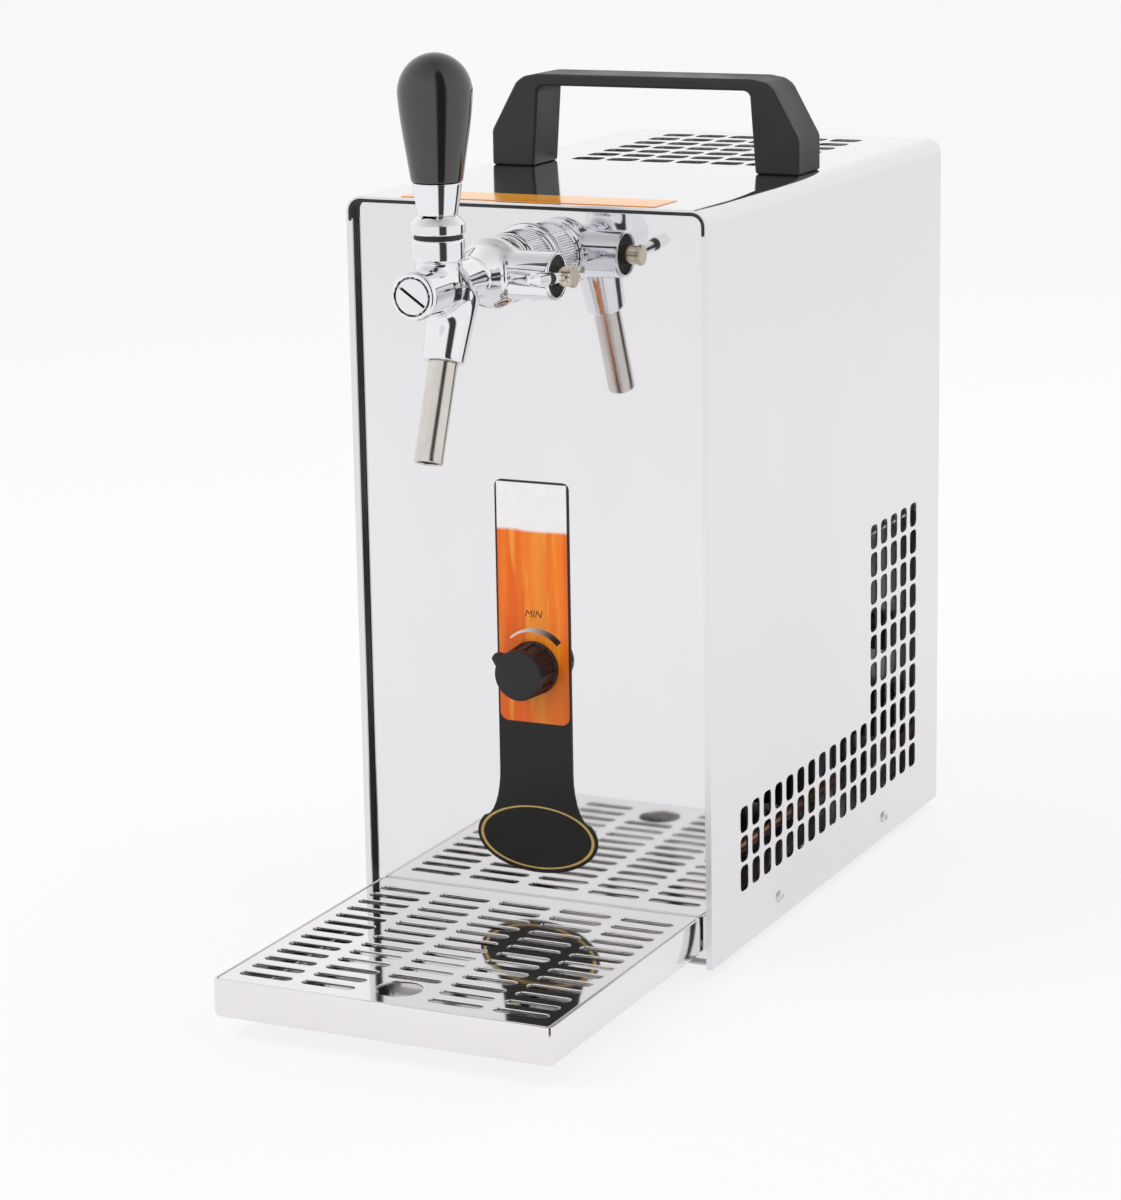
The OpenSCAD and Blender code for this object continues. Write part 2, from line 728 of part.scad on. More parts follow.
// Screws of the casing
screw_rim = 0.5;
screw_len = 5;
module screw_x(x, y, z) along_x(x, y, z) {
    soft_disc(screw_head_d, screw_head_h, screw_rim);
    translate([0, 0, -screw_len]) cylinder(d = screw_d, h = screw_len + screw_rim, $fn = 24);
}
module case_screws() color("silver") place() {
    both_sides() for (y = screw_ys) screw_x(body_w / 2, y, side_screw_z);
    for (s = [-1, 1], z = rear_screw_zs) translate([s * rear_screw_x, body_d, z])
        rotate([0, 0, 90]) screw_x(0, 0, 0);
}

// Carrying handle, fastened from under the casing's top
handle_screw_in = 18;
handle_head_d = 9;
handle_head_h = 3;
inner_corner = 2;
crown_shares = [0.35, 0.3];
leg_in = handle_w / 2 - handle_leg_t;
shoulder_x = handle_w / 2 - shoulder_w;
gap_top = handle_h - grip_t;
function handle_side() = [
    [leg_in, 0], [handle_w / 2, 0], [handle_w / 2, handle_upright], [shoulder_x, handle_h - crown_h],
    [shoulder_x - crown_w * crown_shares[0], handle_h - crown_h * crown_shares[1]],
    [shoulder_x - crown_w, handle_h]];
function handle_inside() = [
    [handle_draft - leg_in, gap_top - inner_corner], [inner_corner + handle_draft - leg_in, gap_top],
    [leg_in - handle_draft - inner_corner, gap_top], [leg_in - handle_draft, gap_top - inner_corner]];
module carry_handle() color([0.17, 0.17, 0.18]) place() translate([0, 0, body_h]) difference() {
    upright(handle_y - handle_d / 2, handle_d)
        polygon(concat(handle_side(), flip(handle_side()), handle_inside()));
    for (s = [-1, 1]) translate([s * handle_screw_x, handle_y, -cut])
        cylinder(d = handle_screw_d + 2 * fit, h = handle_screw_in + cut, $fn = 32);
}
module handle_screws() color("silver") place() for (s = [-1, 1])
    translate([s * handle_screw_x, handle_y, inner_top - handle_head_h]) {
        cylinder(d = handle_head_d, h = handle_head_h);
        cylinder(d = handle_screw_d, h = handle_head_h + sheet_t + handle_screw_in - slack, $fn = 32);
    }

// Strip on the top and label plate on the panel
strip_t = 0.3;
module top_strip() color("orange") place() translate([-strip_w / 2, panel_recess, body_h])
    cube([strip_w, strip_d, strip_t]);
label_top = body_h - label_drop;
neck_z = label_oval_z + label_oval_b + flare_h;
flare_steps = 8;
oval_start = 28;
oval_steps = 24;
flare_x = label_oval_a * cos(oval_start);
flare_z = label_oval_z + label_oval_b * sin(oval_start);
// The right half: top corner, straight side, flare in a quarter turn, then the oval to its lowest point
function label_half() = concat(
    [for (i = [0 : 3]) let (a = 90 - 30 * i)
        [label_w / 2 - label_r + label_r * cos(a), label_top - label_r + label_r * sin(a)]],
    [for (i = [0 : flare_steps]) let (a = 90 * i / flare_steps)
        [label_w / 2 + (flare_x - label_w / 2) * (1 - cos(a)), neck_z - (neck_z - flare_z) * sin(a)]],
    [for (i = [1 : oval_steps - 1]) let (a = oval_start - (90 + oval_start) * i / oval_steps)
        [label_oval_a * cos(a), label_oval_z + label_oval_b * sin(a)]]);
module label_outline()
    polygon(concat(label_half(), [[0, label_oval_z - label_oval_b]], flip(label_half())));
module front_label() color("darkorange") place() upright(panel_recess - label_t, label_t)
    difference() {
        label_outline();
        translate([0, knob_z]) circle(d = thermo_neck_d + 2 * run);
    }

// Thermostat, held by its threaded neck in the panel
knob_gap = 0.5;
knob_back = panel_recess - label_t - knob_gap;
knob_turn = 155;
knob_lip = 1;
knob_chamfer = 0.8;
nib_out = 0.6;
flute_d = 4.8;
flute_in = 1.5;
flute_start = 2;
neck_out = 5;
knob_hollow_d = thermo_neck_d + 5 * knob_lip;
knob_hollow = neck_out + flute_in;
knob_bore_in = 9;
shaft_in = 6;
shaft_y = knob_back - neck_out - knob_bore_in + knob_lip;
module thermostat_knob() color([0.13, 0.13, 0.14]) place() along_y(0, knob_back, knob_z)
    rotate([180, 0, 0]) difference() {
        union() {
            cylinder(d1 = knob_d, d2 = knob_face_d, h = knob_len - knob_lip);
            translate([0, 0, knob_len - knob_lip])
                cylinder(d1 = knob_face_d, d2 = knob_face_d - 2 * knob_chamfer, h = knob_lip);
            rotate(knob_turn) translate([0, -nib_w / 2, knob_len / 2])
                cube([knob_d / 2 + nib_out, nib_w, knob_len / 2]);
        }
        for (i = [0 : knob_flutes - 1]) rotate(knob_turn + 360 * (i + 0.5) / knob_flutes)
            translate([knob_d / 2 + flute_d / 2 - flute_in, 0, flute_start])
                cylinder(d = flute_d, h = knob_len, $fn = 24);
        translate([0, 0, -cut]) cylinder(d = knob_hollow_d, h = knob_hollow + cut);
        cylinder(d = knob_shaft_d + 2 * fit, h = neck_out + knob_bore_in, $fn = 48);
    }
module thermostat_shaft() color("silver") place() along_y(0, shaft_y, knob_z)
    cylinder(d = knob_shaft_d, h = panel_back + shaft_in - shaft_y, $fn = 48);
module thermostat_body() color("lightgray") place() difference() {
    union() {
        translate([-thermo_w / 2, panel_back, knob_z - thermo_h / 2]) cube([thermo_w, thermo_d, thermo_h]);
        along_y(0, knob_back - neck_out, knob_z)
            cylinder(d = thermo_neck_d, h = neck_out + panel_back - knob_back + sink);
    }
    along_y(0, knob_back - neck_out - cut, knob_z) cylinder(d = knob_shaft_d + 2 * run,
        h = neck_out + panel_back - knob_back + shaft_in + 2 * cut, $fn = 48);
}

// Drip tray with its grate, on two tongues that slide in guides on the base plate
tray_hw = body_w / 2 - hem_w - tray_side_gap;
tray_back = panel_recess - slack;
tray_top = tray_low + tray_h;
tray_len = tray_out + tray_back;
guide_wall = 2;
guide_gap = 0.25;
guide_past = 6;
tongue_x = body_w / 2 - foot_inset_x - tongue_gap - guide_wall - tongue_w / 2;
module tray_pan() color("whitesmoke") place() {
    difference() {
        translate([-tray_hw, -tray_out, tray_low]) cube([2 * tray_hw, tray_len, tray_h]);
        translate([tray_t - tray_hw, tray_t - tray_out, tray_low + tray_t])
            cube([2 * (tray_hw - tray_t), tray_len - 2 * tray_t, tray_h]);
    }
    for (s = [0, 1]) mirror([s, 0, 0])
        translate([tray_hw - tray_t - ledge_w, tray_t - tray_out, tray_top - grate_t - tray_t])
            cube([ledge_w, tray_len - 2 * tray_t, tray_t]);
    for (s = [-1, 1]) translate([s * tongue_x - tongue_w / 2, tray_back - tray_t, tray_low])
        cube([tongue_w, tongue_l + tray_t, tray_t]);
}
grate_hw = tray_hw - tray_t - grate_gap;
grate_front = tray_t + seat - tray_out;
grate_back = tray_back - tray_t - seat;
grate_len = grate_back - grate_front;
slot_pitch = grate_len / (grate_rows + 1.31);
grate_side_cols = floor((grate_hw - grate_slot_l / 2) / grate_pitch);
first_slot_share = 1.03;
finger_share = 1.72;
slot_flat = 0.02;
module tray_grate() color("gainsboro") place() translate([0, 0, tray_top - grate_t])
    linear_extrude(grate_t) difference() {
        translate([-grate_hw, grate_front]) square([2 * grate_hw, grate_len]);
        for (c = [-grate_side_cols : grate_side_cols], r = [0 : grate_rows - 1])
            if (c != 0 || r > 1)
                translate([c * grate_pitch, grate_front + (r + first_slot_share) * slot_pitch])
                    polygon(round_rect(grate_slot_l, grate_slot_w, (grate_slot_w - slot_flat) / 2, 3));
        translate([0, grate_front + finger_share * slot_pitch]) circle(d = finger_d);
    }
guide_l = tray_back + tongue_l + guide_past - gasket_end;
guide_h = tray_low + tray_t + guide_gap + guide_wall - base_top;
module tray_guides() color("dimgray") place() for (s = [-1, 1])
    translate([s * tongue_x, gasket_end, base_top]) difference() {
        translate([-tongue_w / 2 - guide_wall, 0, 0]) cube([tongue_w + 2 * guide_wall, guide_l, guide_h]);
        translate([-tongue_w / 2 - guide_gap, -cut, tray_low - guide_gap - base_top])
            cube([tongue_w + 2 * guide_gap, guide_l + 2 * cut, tray_t + 2 * guide_gap]);
    }

// Tap body, with the beer's way from the shank to the spout
plug_gap = 0.35;
plug_t = 4;
hub_rim = 2;
small_rim = 0.8;
gland_d = housing_d - 2 * gland_wall;
spigot_d = 14;
spigot_gap = 2 * slack;
ball_bore_d = 8.8;
hinge_pin_d = 3;
hinge_pin_l = 17;
spout_end_d = spout_d - 2 * slack;
// The pin through the lever's ball, with a gap round it for the holes that it turns in
module hinge_pin(gap) along_x(-hinge_pin_l / 2 - gap, 0, pivot_rise)
    cylinder(d = hinge_pin_d + 2 * gap, h = hinge_pin_l + 2 * gap, $fn = 32);
module spout_axis() translate([0, socket_y, socket_z]) rotate([-spout_tilt, 0, 0]) children();
module gland_seat() along_x(housing_len - gland_t - gland_in, housing_y, tap_z) children();
// Everything that the casting is made of, before it is drilled
module tap_casting() {
    translate([0, lever_y, tap_z]) cylinder(d = barrel_d, h = collar_low + sink);
    translate([0, lever_y, tap_z + collar_low]) soft_disc(rim_d, collar_h, small_rim);
    along_y(0, hub_y, tap_z) soft_disc(hub_d, hub_len + chamber_d / 2, hub_rim);
    along_y(0, lever_y, tap_z) cylinder(d = neck_d, h = bulb_y - lever_y);
    along_y(0, bulb_y - cone_len, tap_z) cylinder(d1 = neck_d - sink, d2 = bulb_d, h = cone_len);
    along_y(0, bulb_y - sink, tap_z) cylinder(d = bulb_d, h = bulb_len + sink);
    along_y(0, collar_y - sink, tap_z) cylinder(d = tap_tail_d, h = tail_in + sink);
    intersection() {
        along_x(0, housing_y, tap_z) cylinder(d = housing_d, h = housing_len);
        translate([0, housing_y - housing_d, tap_z - housing_d])
            cube([housing_len, housing_d + collar_y - seat - housing_y, 2 * housing_d]);
    }
    spout_axis() cylinder(d1 = socket_d, d2 = neck_d, h = socket_len);
}
module tap_drilling() {
    along_y(0, hub_y - cut, tap_z) cylinder(d = chamber_d, h = seat_y - hub_y + cut);
    along_y(0, hub_y - cut, tap_z) cylinder(d = plug_d + 2 * plug_gap, h = plug_t + cut);
    along_y(0, seat_y - cut, tap_z) cylinder(d = seat_hole_d, h = seat_t + 2 * cut);
    along_y(0, seat_y + seat_t, tap_z) cylinder(d = chamber_d + cut, h = rear_chamber_len);
    along_y(0, chamber_end - cut, tap_z) cylinder(d = beer_bore, h = tail_y - chamber_end + 2 * cut);
    along_y(0, tail_y - shank_socket, tap_z) cylinder(d = shank_d + 2 * fit, h = shank_socket + cut);
    translate([0, lever_y, tap_z]) {
        cylinder(d = spigot_d, h = collar_low + sink);
        cylinder(d = ball_bore_d, h = pivot_rise);
        translate([0, 0, pivot_rise]) sphere(d = ball_d + 2 * run);
        translate([0, 0, pivot_rise + slack]) cylinder(d = spigot_d + 2 * fit, h = ball_d);
        hinge_pin(run);
        translate([-hinge_pin_l / 2 - run, -hinge_pin_d / 2 - run, pivot_rise])
            cube([hinge_pin_l + 2 * run, hinge_pin_d + 2 * run, ball_d]);
    }
    spout_axis() {
        translate([0, 0, -cut]) cylinder(d = spout_end_d + 2 * fit, h = spout_in + cut);
        cylinder(d = spout_bore, h = socket_len / 2);
    }
    translate([0, seat_y - (port_d + seat_t) / 2, socket_z + (socket_len - port_d) / 2])
        cylinder(d = port_d, h = tap_z - socket_z - (socket_len - port_d) / 2);
    gland_seat() cylinder(d = gland_d, h = gland_t + gland_in + cut);
    along_x(0, housing_y, tap_z) cylinder(d = comp_shaft_d + 2 * run, h = housing_len + cut);
}
module tap_body() color("silver") place() difference() {
    tap_casting();
    tap_drilling();
}
plug_turn = 35;
plug_slot_w = 1.2;
plug_slot_t = 1;
plug_in = 2.5;
module tap_plug() color("silver") place() along_y(0, hub_y, tap_z) difference() {
    union() {
        cylinder(d = plug_d, h = plug_t - fit);
        cylinder(d = chamber_d - 2 * fit, h = plug_t + plug_in);
    }
    rotate(plug_turn) translate([cut - plug_d / 2, -plug_slot_w / 2, -cut])
        cube([plug_d - 2 * cut, plug_slot_w, plug_slot_t + cut]);
}
// The bonnet's domed top is centred on the lever's ball, and its slot lets the stem swing
stem_way = rod_d + 2 * slack;
stem_sweep = (dome_r + cut) * sin(lever_tilt);
module tap_bonnet() color("silver") place() translate([0, lever_y, tap_z]) difference() {
    union() {
        intersection() {
            translate([0, 0, bonnet_low]) soft_disc(bonnet_d, dome_r, small_rim);
            translate([0, 0, pivot_rise]) sphere(dome_r);
        }
        translate([0, 0, pivot_rise + spigot_gap])
            cylinder(d = spigot_d, h = bonnet_low - pivot_rise - spigot_gap + sink);
    }
    hinge_pin(run);
    translate([0, 0, pivot_rise]) sphere(d = ball_d + 2 * run);
    translate([-stem_way / 2, -stem_sweep - stem_way / 2, pivot_rise])
        cube([stem_way, stem_sweep + stem_way, dome_r + cut]);
}
ring_in = 1.2;
module bonnet_ring() color("black") place() translate([0, lever_y, tap_z + collar_top])
    tube(bonnet_d - 2 * ring_in, spigot_d + 2 * fit, ring_t);

// Tap lever: stem with its ball, hinge pin and finger, then ferrule and grip
module lever_stem() color("silver") place() translate([0, lever_y, tap_z]) {
    hinge_pin(0);
    sphere(d = finger_ball_d);
    cylinder(d = finger_rod_d, h = pivot_rise, $fn = 32);
    translate([0, 0, pivot_rise]) sphere(d = ball_d);
    translate([0, 0, pivot_rise]) cylinder(d = rod_d, h = ferrule_top + rod_in - pivot_rise, $fn = 48);
}
ferrule_bowl_r = dome_r + 2 * seat;
ferrule_low = pivot_rise + sqrt(ferrule_bowl_r ^ 2 - (ferrule_low_d / 2) ^ 2);
module lever_ferrule() color("silver") place() translate([0, lever_y, tap_z]) difference() {
    translate([0, 0, ferrule_low])
        cylinder(d1 = ferrule_low_d, d2 = ferrule_top_d, h = ferrule_top - ferrule_low);
    translate([0, 0, pivot_rise]) sphere(ferrule_bowl_r);
    cylinder(d = rod_d + 2 * fit, h = ferrule_top + cut, $fn = 48);
}
// The grip swells from the ferrule's diameter to its widest place, then closes in a round cap
grip_wide_share = 0.69;
grip_swell_share = 0.57;
grip_steps = 10;
grip_low_r = ferrule_top_d / 2 + seat;
grip_r = grip_d / 2;
function grip_side() = [for (i = [0 : grip_steps]) let (t = i / grip_steps)
    [grip_low_r + (grip_r - grip_low_r) * (t + grip_swell_share * t * t * (1 - t)),
        grip_len * grip_wide_share * t]];
function grip_cap() = [for (i = [1 : grip_steps]) let (a = 90 * i / grip_steps)
    [grip_r * cos(a), grip_len * (grip_wide_share + (1 - grip_wide_share) * sin(a))]];
module lever_grip() color([0.12, 0.12, 0.13]) place()
    translate([0, lever_y, tap_z + ferrule_top]) difference() {
        rotate_extrude() polygon(concat([[0, 0]], grip_side(), grip_cap()));
        translate([0, 0, -cut]) cylinder(d = rod_d + 2 * fit, h = rod_in + cut + seat, $fn = 48);
    }

// Valve: the piston slides along the tap's axis, and its seal sits behind the valve seat
seal_y = seat_y + seat_t + run;
piston_slot = finger_ball_d + 2 * slack;
piston_back = lever_y + piston_behind;
piston_head_t = 1.6;
module valve_piston() color("silver") place() difference() {
    union() {
        along_y(0, lever_y - piston_ahead, tap_z)
            cylinder(d = chamber_d - 2 * run, h = piston_ahead + piston_behind);
        along_y(0, piston_back - sink, tap_z)
            cylinder(d = piston_rod_d, h = seal_y + seal_t - piston_back + sink, $fn = 48);
        along_y(0, seal_y + seal_t, tap_z) cylinder(d = seat_hole_d - sink, h = piston_head_t);
    }
    translate([-piston_slot / 2, lever_y - piston_slot / 2, tap_z - piston_slot / 2])
        cube([piston_slot, piston_slot, chamber_d]);
}
module piston_seal() color("black") place() along_y(0, seal_y, tap_z)
    tube(seal_d, piston_rod_d + 2 * fit, seal_t);

// Spout, with a thinner end that fits in the socket
module tap_spout() color("tan") place() spout_axis() difference() {
    union() {
        translate([0, 0, -spout_len]) cylinder(d = spout_d, h = spout_len - slack);
        translate([0, 0, -spout_len / 2]) cylinder(d = spout_end_d, h = spout_len / 2 + spout_in - seat);
    }
    translate([0, 0, -spout_len - cut]) cylinder(d = spout_bore, h = spout_len + spout_in + 2 * cut);
}

// Compensator: its shaft's pin moves the flow cone
comp_shaft_x = (beer_bore + cut) / 2 + slack;
lever_x = housing_len + comp_shaft_out / 2;
root_d = 2.6;
root_in = 3;
root_out = 2;
shaft_rim = 0.5;
lever_step = 0.6;
lever_root_share = 0.32;
lever_cone_share = 0.44;
lever_cone_d_share = 0.46;
lever_core_share = 0.3;
lever_band_share = 0.59;
lever_grip_share = 0.87;
lever_end_shares = [0.34, 0.95];
lever_tip_share = 0.18;
module compensator_gland() color("black") place() gland_seat()
    tube(gland_d - 2 * fit, comp_shaft_d + 2 * run, gland_t);
module along_comp_lever() translate([lever_x, housing_y, tap_z])
    rotate([90 - comp_tilt, 0, 0]) children();
module lever_root(gap) along_comp_lever() translate([0, 0, comp_shaft_d / 2 - root_in])
    cylinder(d = root_d + 2 * gap, h = root_in + root_out, $fn = 32);
module compensator_shaft() color("tan") place() difference() {
    union() {
        along_x(comp_shaft_x, housing_y, tap_z)
            cylinder(d = comp_shaft_d, h = housing_len + comp_shaft_out - comp_shaft_x);
        along_x(housing_len + comp_shaft_out - shaft_cap_t, housing_y, tap_z)
            soft_disc(shaft_cap_d, shaft_cap_t, shaft_rim);
        along_x(-pin_d / 2, housing_y, tap_z - pin_throw)
            cylinder(d = pin_d, h = comp_shaft_x + pin_d / 2 + sink, $fn = 32);
    }
    lever_root(fit);
}
module compensator_lever() color("silver") place() {
    lever_root(0);
    along_comp_lever() rotate_extrude() polygon([
        [0, comp_shaft_d / 2 + lever_step],
        [comp_lever_d * lever_root_share, comp_shaft_d / 2 + lever_step],
        [comp_lever_d * lever_cone_d_share, comp_lever_len * lever_cone_share],
        [comp_lever_d * lever_core_share, comp_lever_len * lever_cone_share],
        [comp_lever_d * lever_core_share, comp_lever_len * lever_band_share],
        [comp_lever_d / 2, comp_lever_len * lever_band_share],
        [comp_lever_d / 2, comp_lever_len * lever_grip_share],
        [comp_lever_d * lever_end_shares[0], comp_lever_len * lever_end_shares[1]],
        [comp_lever_d * lever_tip_share, comp_lever_len], [0, comp_lever_len]]);
}
band_d_share = 0.88;
module lever_band() color("black") place() along_comp_lever()
    translate([0, 0, comp_lever_len * lever_cone_share + fit])
        tube(comp_lever_d * band_d_share, 2 * (comp_lever_d * lever_core_share + fit),
            comp_lever_len * (lever_band_share - lever_cone_share) - 2 * fit);
flow_cone_y = housing_y - flow_cone_len;
taper_share = 0.72;
cone_front_share = 0.5;
cone_back_share = 0.84;
module compensator_cone() color("white") place() difference() {
    union() {
        along_y(0, flow_cone_y, tap_z) cylinder(d1 = beer_bore * cone_front_share,
            d2 = beer_bore * cone_back_share, h = flow_cone_len * taper_share);
        along_y(0, flow_cone_y + flow_cone_len * taper_share, tap_z) cylinder(
            d = beer_bore * cone_back_share, h = flow_cone_len * (1 - taper_share) + flow_cone_tail);
    }
    translate([-pin_d / 2 - slack, housing_y - pin_d / 2 - run, tap_z - beer_bore])
        cube([beer_bore, pin_d + 2 * run, 2 * beer_bore]);
}

// Mounting nut, flange, shank and its nut
knurls = 40;
knurl_d = 1.7;
knurl_in = 0.5;
knurl_start = 5;
knurl_end = 3;
nut_rim = 1.2;
flange_rim = flange_t / 3;
module collar_nut() color("silver") place() along_y(0, collar_y, tap_z) difference() {
    soft_disc(collar_d, collar_len, nut_rim);
    translate([0, 0, -cut]) cylinder(d = tap_tail_d + 2 * fit, h = tail_in + cut + seat);
    cylinder(d = shank_d + 2 * fit, h = collar_len + cut);
    for (i = [0 : knurls - 1]) rotate(360 * i / knurls)
        translate([(collar_d + knurl_d) / 2 - knurl_in, 0, knurl_start])
            cylinder(d = knurl_d, h = collar_len - knurl_start - knurl_end, $fn = 16);
}
module shank_flange() color("silver") place() along_y(0, panel_recess - flange_t, tap_z) difference() {
    soft_disc(flange_d, flange_t, flange_rim);
    translate([0, 0, -cut]) cylinder(d = shank_d + 2 * fit, h = flange_t + 2 * cut);
}
shank_y = tail_y - shank_socket + seat;
shank_end = panel_back + shank_in;
nut_d_share = 1.7;
nut_t_share = 0.45;
module tap_shank() color("silver") place() along_y(0, shank_y, tap_z)
    tube(shank_d, shank_bore, shank_end - shank_y);
module shank_nut() color("silver") place() along_y(0, panel_back, tap_z) difference() {
    cylinder(d = shank_d * nut_d_share, h = shank_d * nut_t_share, $fn = 6);
    translate([0, 0, -cut]) cylinder(d = shank_d + 2 * fit, h = shank_d);
}

// Cooling unit: core, beer coil and evaporator in an insulated box on the shelf
foam_lid_cut = 2;
evap_short = 16;
beer_top = tap_z + beer_tube_d;
evap_top = beer_z - evap_short;
foam_top = beer_top + foam_t - foam_lid_cut;
module cool(z, d, bore, top) translate([0, cool_y, z]) tube(d, bore, top - z);
module cooling_core() color("silver") place() translate([0, cool_y, foam_floor])
    cylinder(d = core_d, h = beer_top - foam_floor);
module beer_coil() color("gainsboro") place() cool(foam_floor, beer_out_d, beer_in_d, beer_top);
module evaporator_coil() color("peru") place() cool(foam_floor, evap_out_d, evap_in_d, evap_top);
module insulation() color("khaki") place() difference() {
    translate([-foam_hw, foam_front, shelf_z]) cube([2 * foam_hw, 2 * foam_hw, foam_top - shelf_z]);
    translate([0, cool_y, foam_floor]) cylinder(d = cavity_d, h = beer_top + seat - foam_floor);
    along_y(0, foam_front - cut, tap_z) cylinder(d = beer_tube_d + 2 * fit, h = foam_hw);
    along_y(0, cool_y, beer_z) cylinder(d = beer_tube_d + 2 * fit, h = foam_hw + cut);
    for (p = [[0, suction_y], [evap_mid_r, cool_y]]) translate([p[0], p[1], shelf_z - cut])
        cylinder(d = pipe_d + 2 * fit, h = foam_t + 2 * cut);
}

// Hose fittings through the rear panel, and the two beer lines
fitting_in = 12;
inner_nut_t = 4;
inner_nut_less = 2;
fitting_in_y = rear_y - fitting_in;
line_front = cool_y - beer_out_d / 2 - seat;
line_rear = cool_y + beer_out_d / 2 + seat;
module outlet_line() color("gainsboro") place() along_y(0, shank_end, tap_z)
    tube(beer_tube_d, beer_tube_bore, line_front - shank_end);
module inlet_line() color("gainsboro") place() along_y(0, line_rear, beer_z)
    tube(beer_tube_d, beer_tube_bore, fitting_in_y - line_rear);
module fitting(x, z) along_y(x, fitting_in_y, z) difference() {
    union() {
        cylinder(d = fitting_d, h = fitting_in + panel_t + sink);
        translate([0, 0, fitting_in - inner_nut_t])
            cylinder(d = hex_d - inner_nut_less, h = inner_nut_t, $fn = 6);
        translate([0, 0, fitting_in + panel_t]) {
            cylinder(d = hex_d, h = hex_t, $fn = 6);
            cylinder(d = tail_d, h = hex_t + tail_len);
        }
    }
    translate([0, 0, -cut]) cylinder(d = tail_bore, h = body_d, $fn = 32);
}
module hose_fittings() color("silver") place() {
    fitting(0, beer_z);
    fitting(-air_fitting_x, air_z);
}

// Compressor on grommets, with its pipes
compressor_x = -14;
bracket_t = 3;
bracket_z = base_top + grommet_h;
bracket_rim = 8;
shell_lift = 7;
seam_out = 2;
seam_h = 4;
boss_h = 4;
boss_wall = 2;
web_t = 4;
grommet_pin_d = 6;
compressor_top = bracket_z + compressor_h;
shell_rim = compressor_d / 6;
grommet_dx = compressor_d / 2 - 4;
grommet_dy = compressor_d / 2 - grommet_d;
grommet_places = [for (x = [-1, 1], y = [-1, 1]) [x * grommet_dx, y * grommet_dy, 0]];
discharge_side = 20;
discharge_drop = 10;
discharge_x = compressor_x - discharge_side;
discharge_z = shelf_z - discharge_drop;
boss_places = [[-compressor_x, suction_y - compressor_y], [discharge_x - compressor_x, 0]];
module compressor() color([0.12, 0.12, 0.13]) place() translate([compressor_x, compressor_y, bracket_z]) {
    translate([0, 0, shell_lift]) soft_disc(compressor_d, compressor_h - shell_lift, shell_rim);
    translate([0, 0, compressor_h / 2]) cylinder(d = compressor_d + 2 * seam_out, h = seam_h);
    difference() {
        translate([-grommet_dx - bracket_rim, -grommet_dy - bracket_rim, 0])
            cube([2 * (grommet_dx + bracket_rim), 2 * (grommet_dy + bracket_rim), bracket_t]);
        for (p = grommet_places) translate(p) translate([0, 0, -cut])
            cylinder(d = grommet_pin_d, h = bracket_t + 2 * cut, $fn = 32);
    }
    for (p = boss_places) translate([p[0], p[1], compressor_h / 2])
        cylinder(d = pipe_d + 2 * boss_wall, h = compressor_h / 2 + boss_h);
    for (a = [45 : 90 : 315]) rotate(a) translate([compressor_d / 4, -web_t / 2, 0])
        cube([compressor_d / 8, web_t, shell_rim + shell_lift]);
}
module compressor_grommets() color("black") place() for (p = grommet_places)
    translate([compressor_x, compressor_y, base_top]) translate(p) {
        cylinder(d = grommet_d, h = grommet_h);
        cylinder(d = grommet_pin_d - 2 * fit, h = grommet_h + bracket_t, $fn = 32);
    }
condenser_y = body_d - condenser_gap - condenser_d;
condenser_mid = condenser_y + condenser_d / 2;
condenser_top = fin_low + condenser_h;
module suction_pipe() color("peru") place() translate([0, suction_y, compressor_top + boss_h])
    cylinder(d = pipe_d, h = foam_floor - compressor_top - boss_h);
module discharge_pipe() color("peru") place() {
    translate([discharge_x, compressor_y, compressor_top + boss_h])
        cylinder(d = pipe_d, h = discharge_z - compressor_top - boss_h);
    for (y = [compressor_y, condenser_mid]) translate([discharge_x, y, discharge_z]) sphere(d = pipe_d);
    along_y(discharge_x, compressor_y, discharge_z)
        cylinder(d = pipe_d, h = condenser_mid - compressor_y);
    translate([discharge_x, condenser_mid, condenser_top])
        cylinder(d = pipe_d, h = discharge_z - condenser_top);
}
drier_z = fin_low + 8 * pipe_d;
line_z = base_top + 2 * pipe_d;
line_end = fan_x + condenser_w / 2;
module filter_drier() color("peru") place() translate([evap_mid_r, cool_y, drier_z])
    soft_disc(drier_d, drier_len, drier_d / 4);
module liquid_line() color("peru") place() {
    translate([evap_mid_r, cool_y, drier_z + drier_len])
        cylinder(d = pipe_d, h = foam_floor - drier_z - drier_len);
    translate([evap_mid_r, cool_y, line_z]) cylinder(d = pipe_d, h = drier_z - line_z);
    for (y = [cool_y, condenser_mid]) translate([evap_mid_r, y, line_z]) sphere(d = pipe_d);
    along_y(evap_mid_r, cool_y, line_z) cylinder(d = pipe_d, h = condenser_mid - cool_y);
    along_x(line_end, condenser_mid, line_z) cylinder(d = pipe_d, h = evap_mid_r - line_end);
}

// Condenser with its fan
end_t = 1.5;
fins = floor((condenser_w - 2 * end_t) / fin_pitch) - 1;
tube_rows = 6;
tube_shares = [0.28, 0.72];
module condenser() color("silver") place() translate([fan_x, condenser_y, 0]) {
    for (s = [0, 1]) mirror([s, 0, 0]) translate([condenser_w / 2 - end_t, 0, base_top])
        cube([end_t, condenser_d, condenser_top - base_top]);
    for (i = [0 : fins - 1]) translate([(i - (fins - 1) / 2) * fin_pitch - fin_t / 2, 0, fin_low])
        cube([fin_t, condenser_d, condenser_h]);
    for (r = [0 : tube_rows - 1], share = tube_shares)
        along_x((end_t - condenser_w) / 2, condenser_d * share,
            fin_low + (r + 0.5) * condenser_h / tube_rows)
            cylinder(d = pipe_d, h = condenser_w - end_t, $fn = 32);
    translate([-condenser_w / 2, 0, condenser_top - end_t]) cube([condenser_w, condenser_d, end_t]);
}
fan_y = condenser_y - fan_d;
strut_w = 6;
strut_t = 3;
motor_shaft_r = 2.5;
motor_share = 0.6;
motor_shaft_share = 0.8;
rotor_gap = 1;
blade_turn = 38;
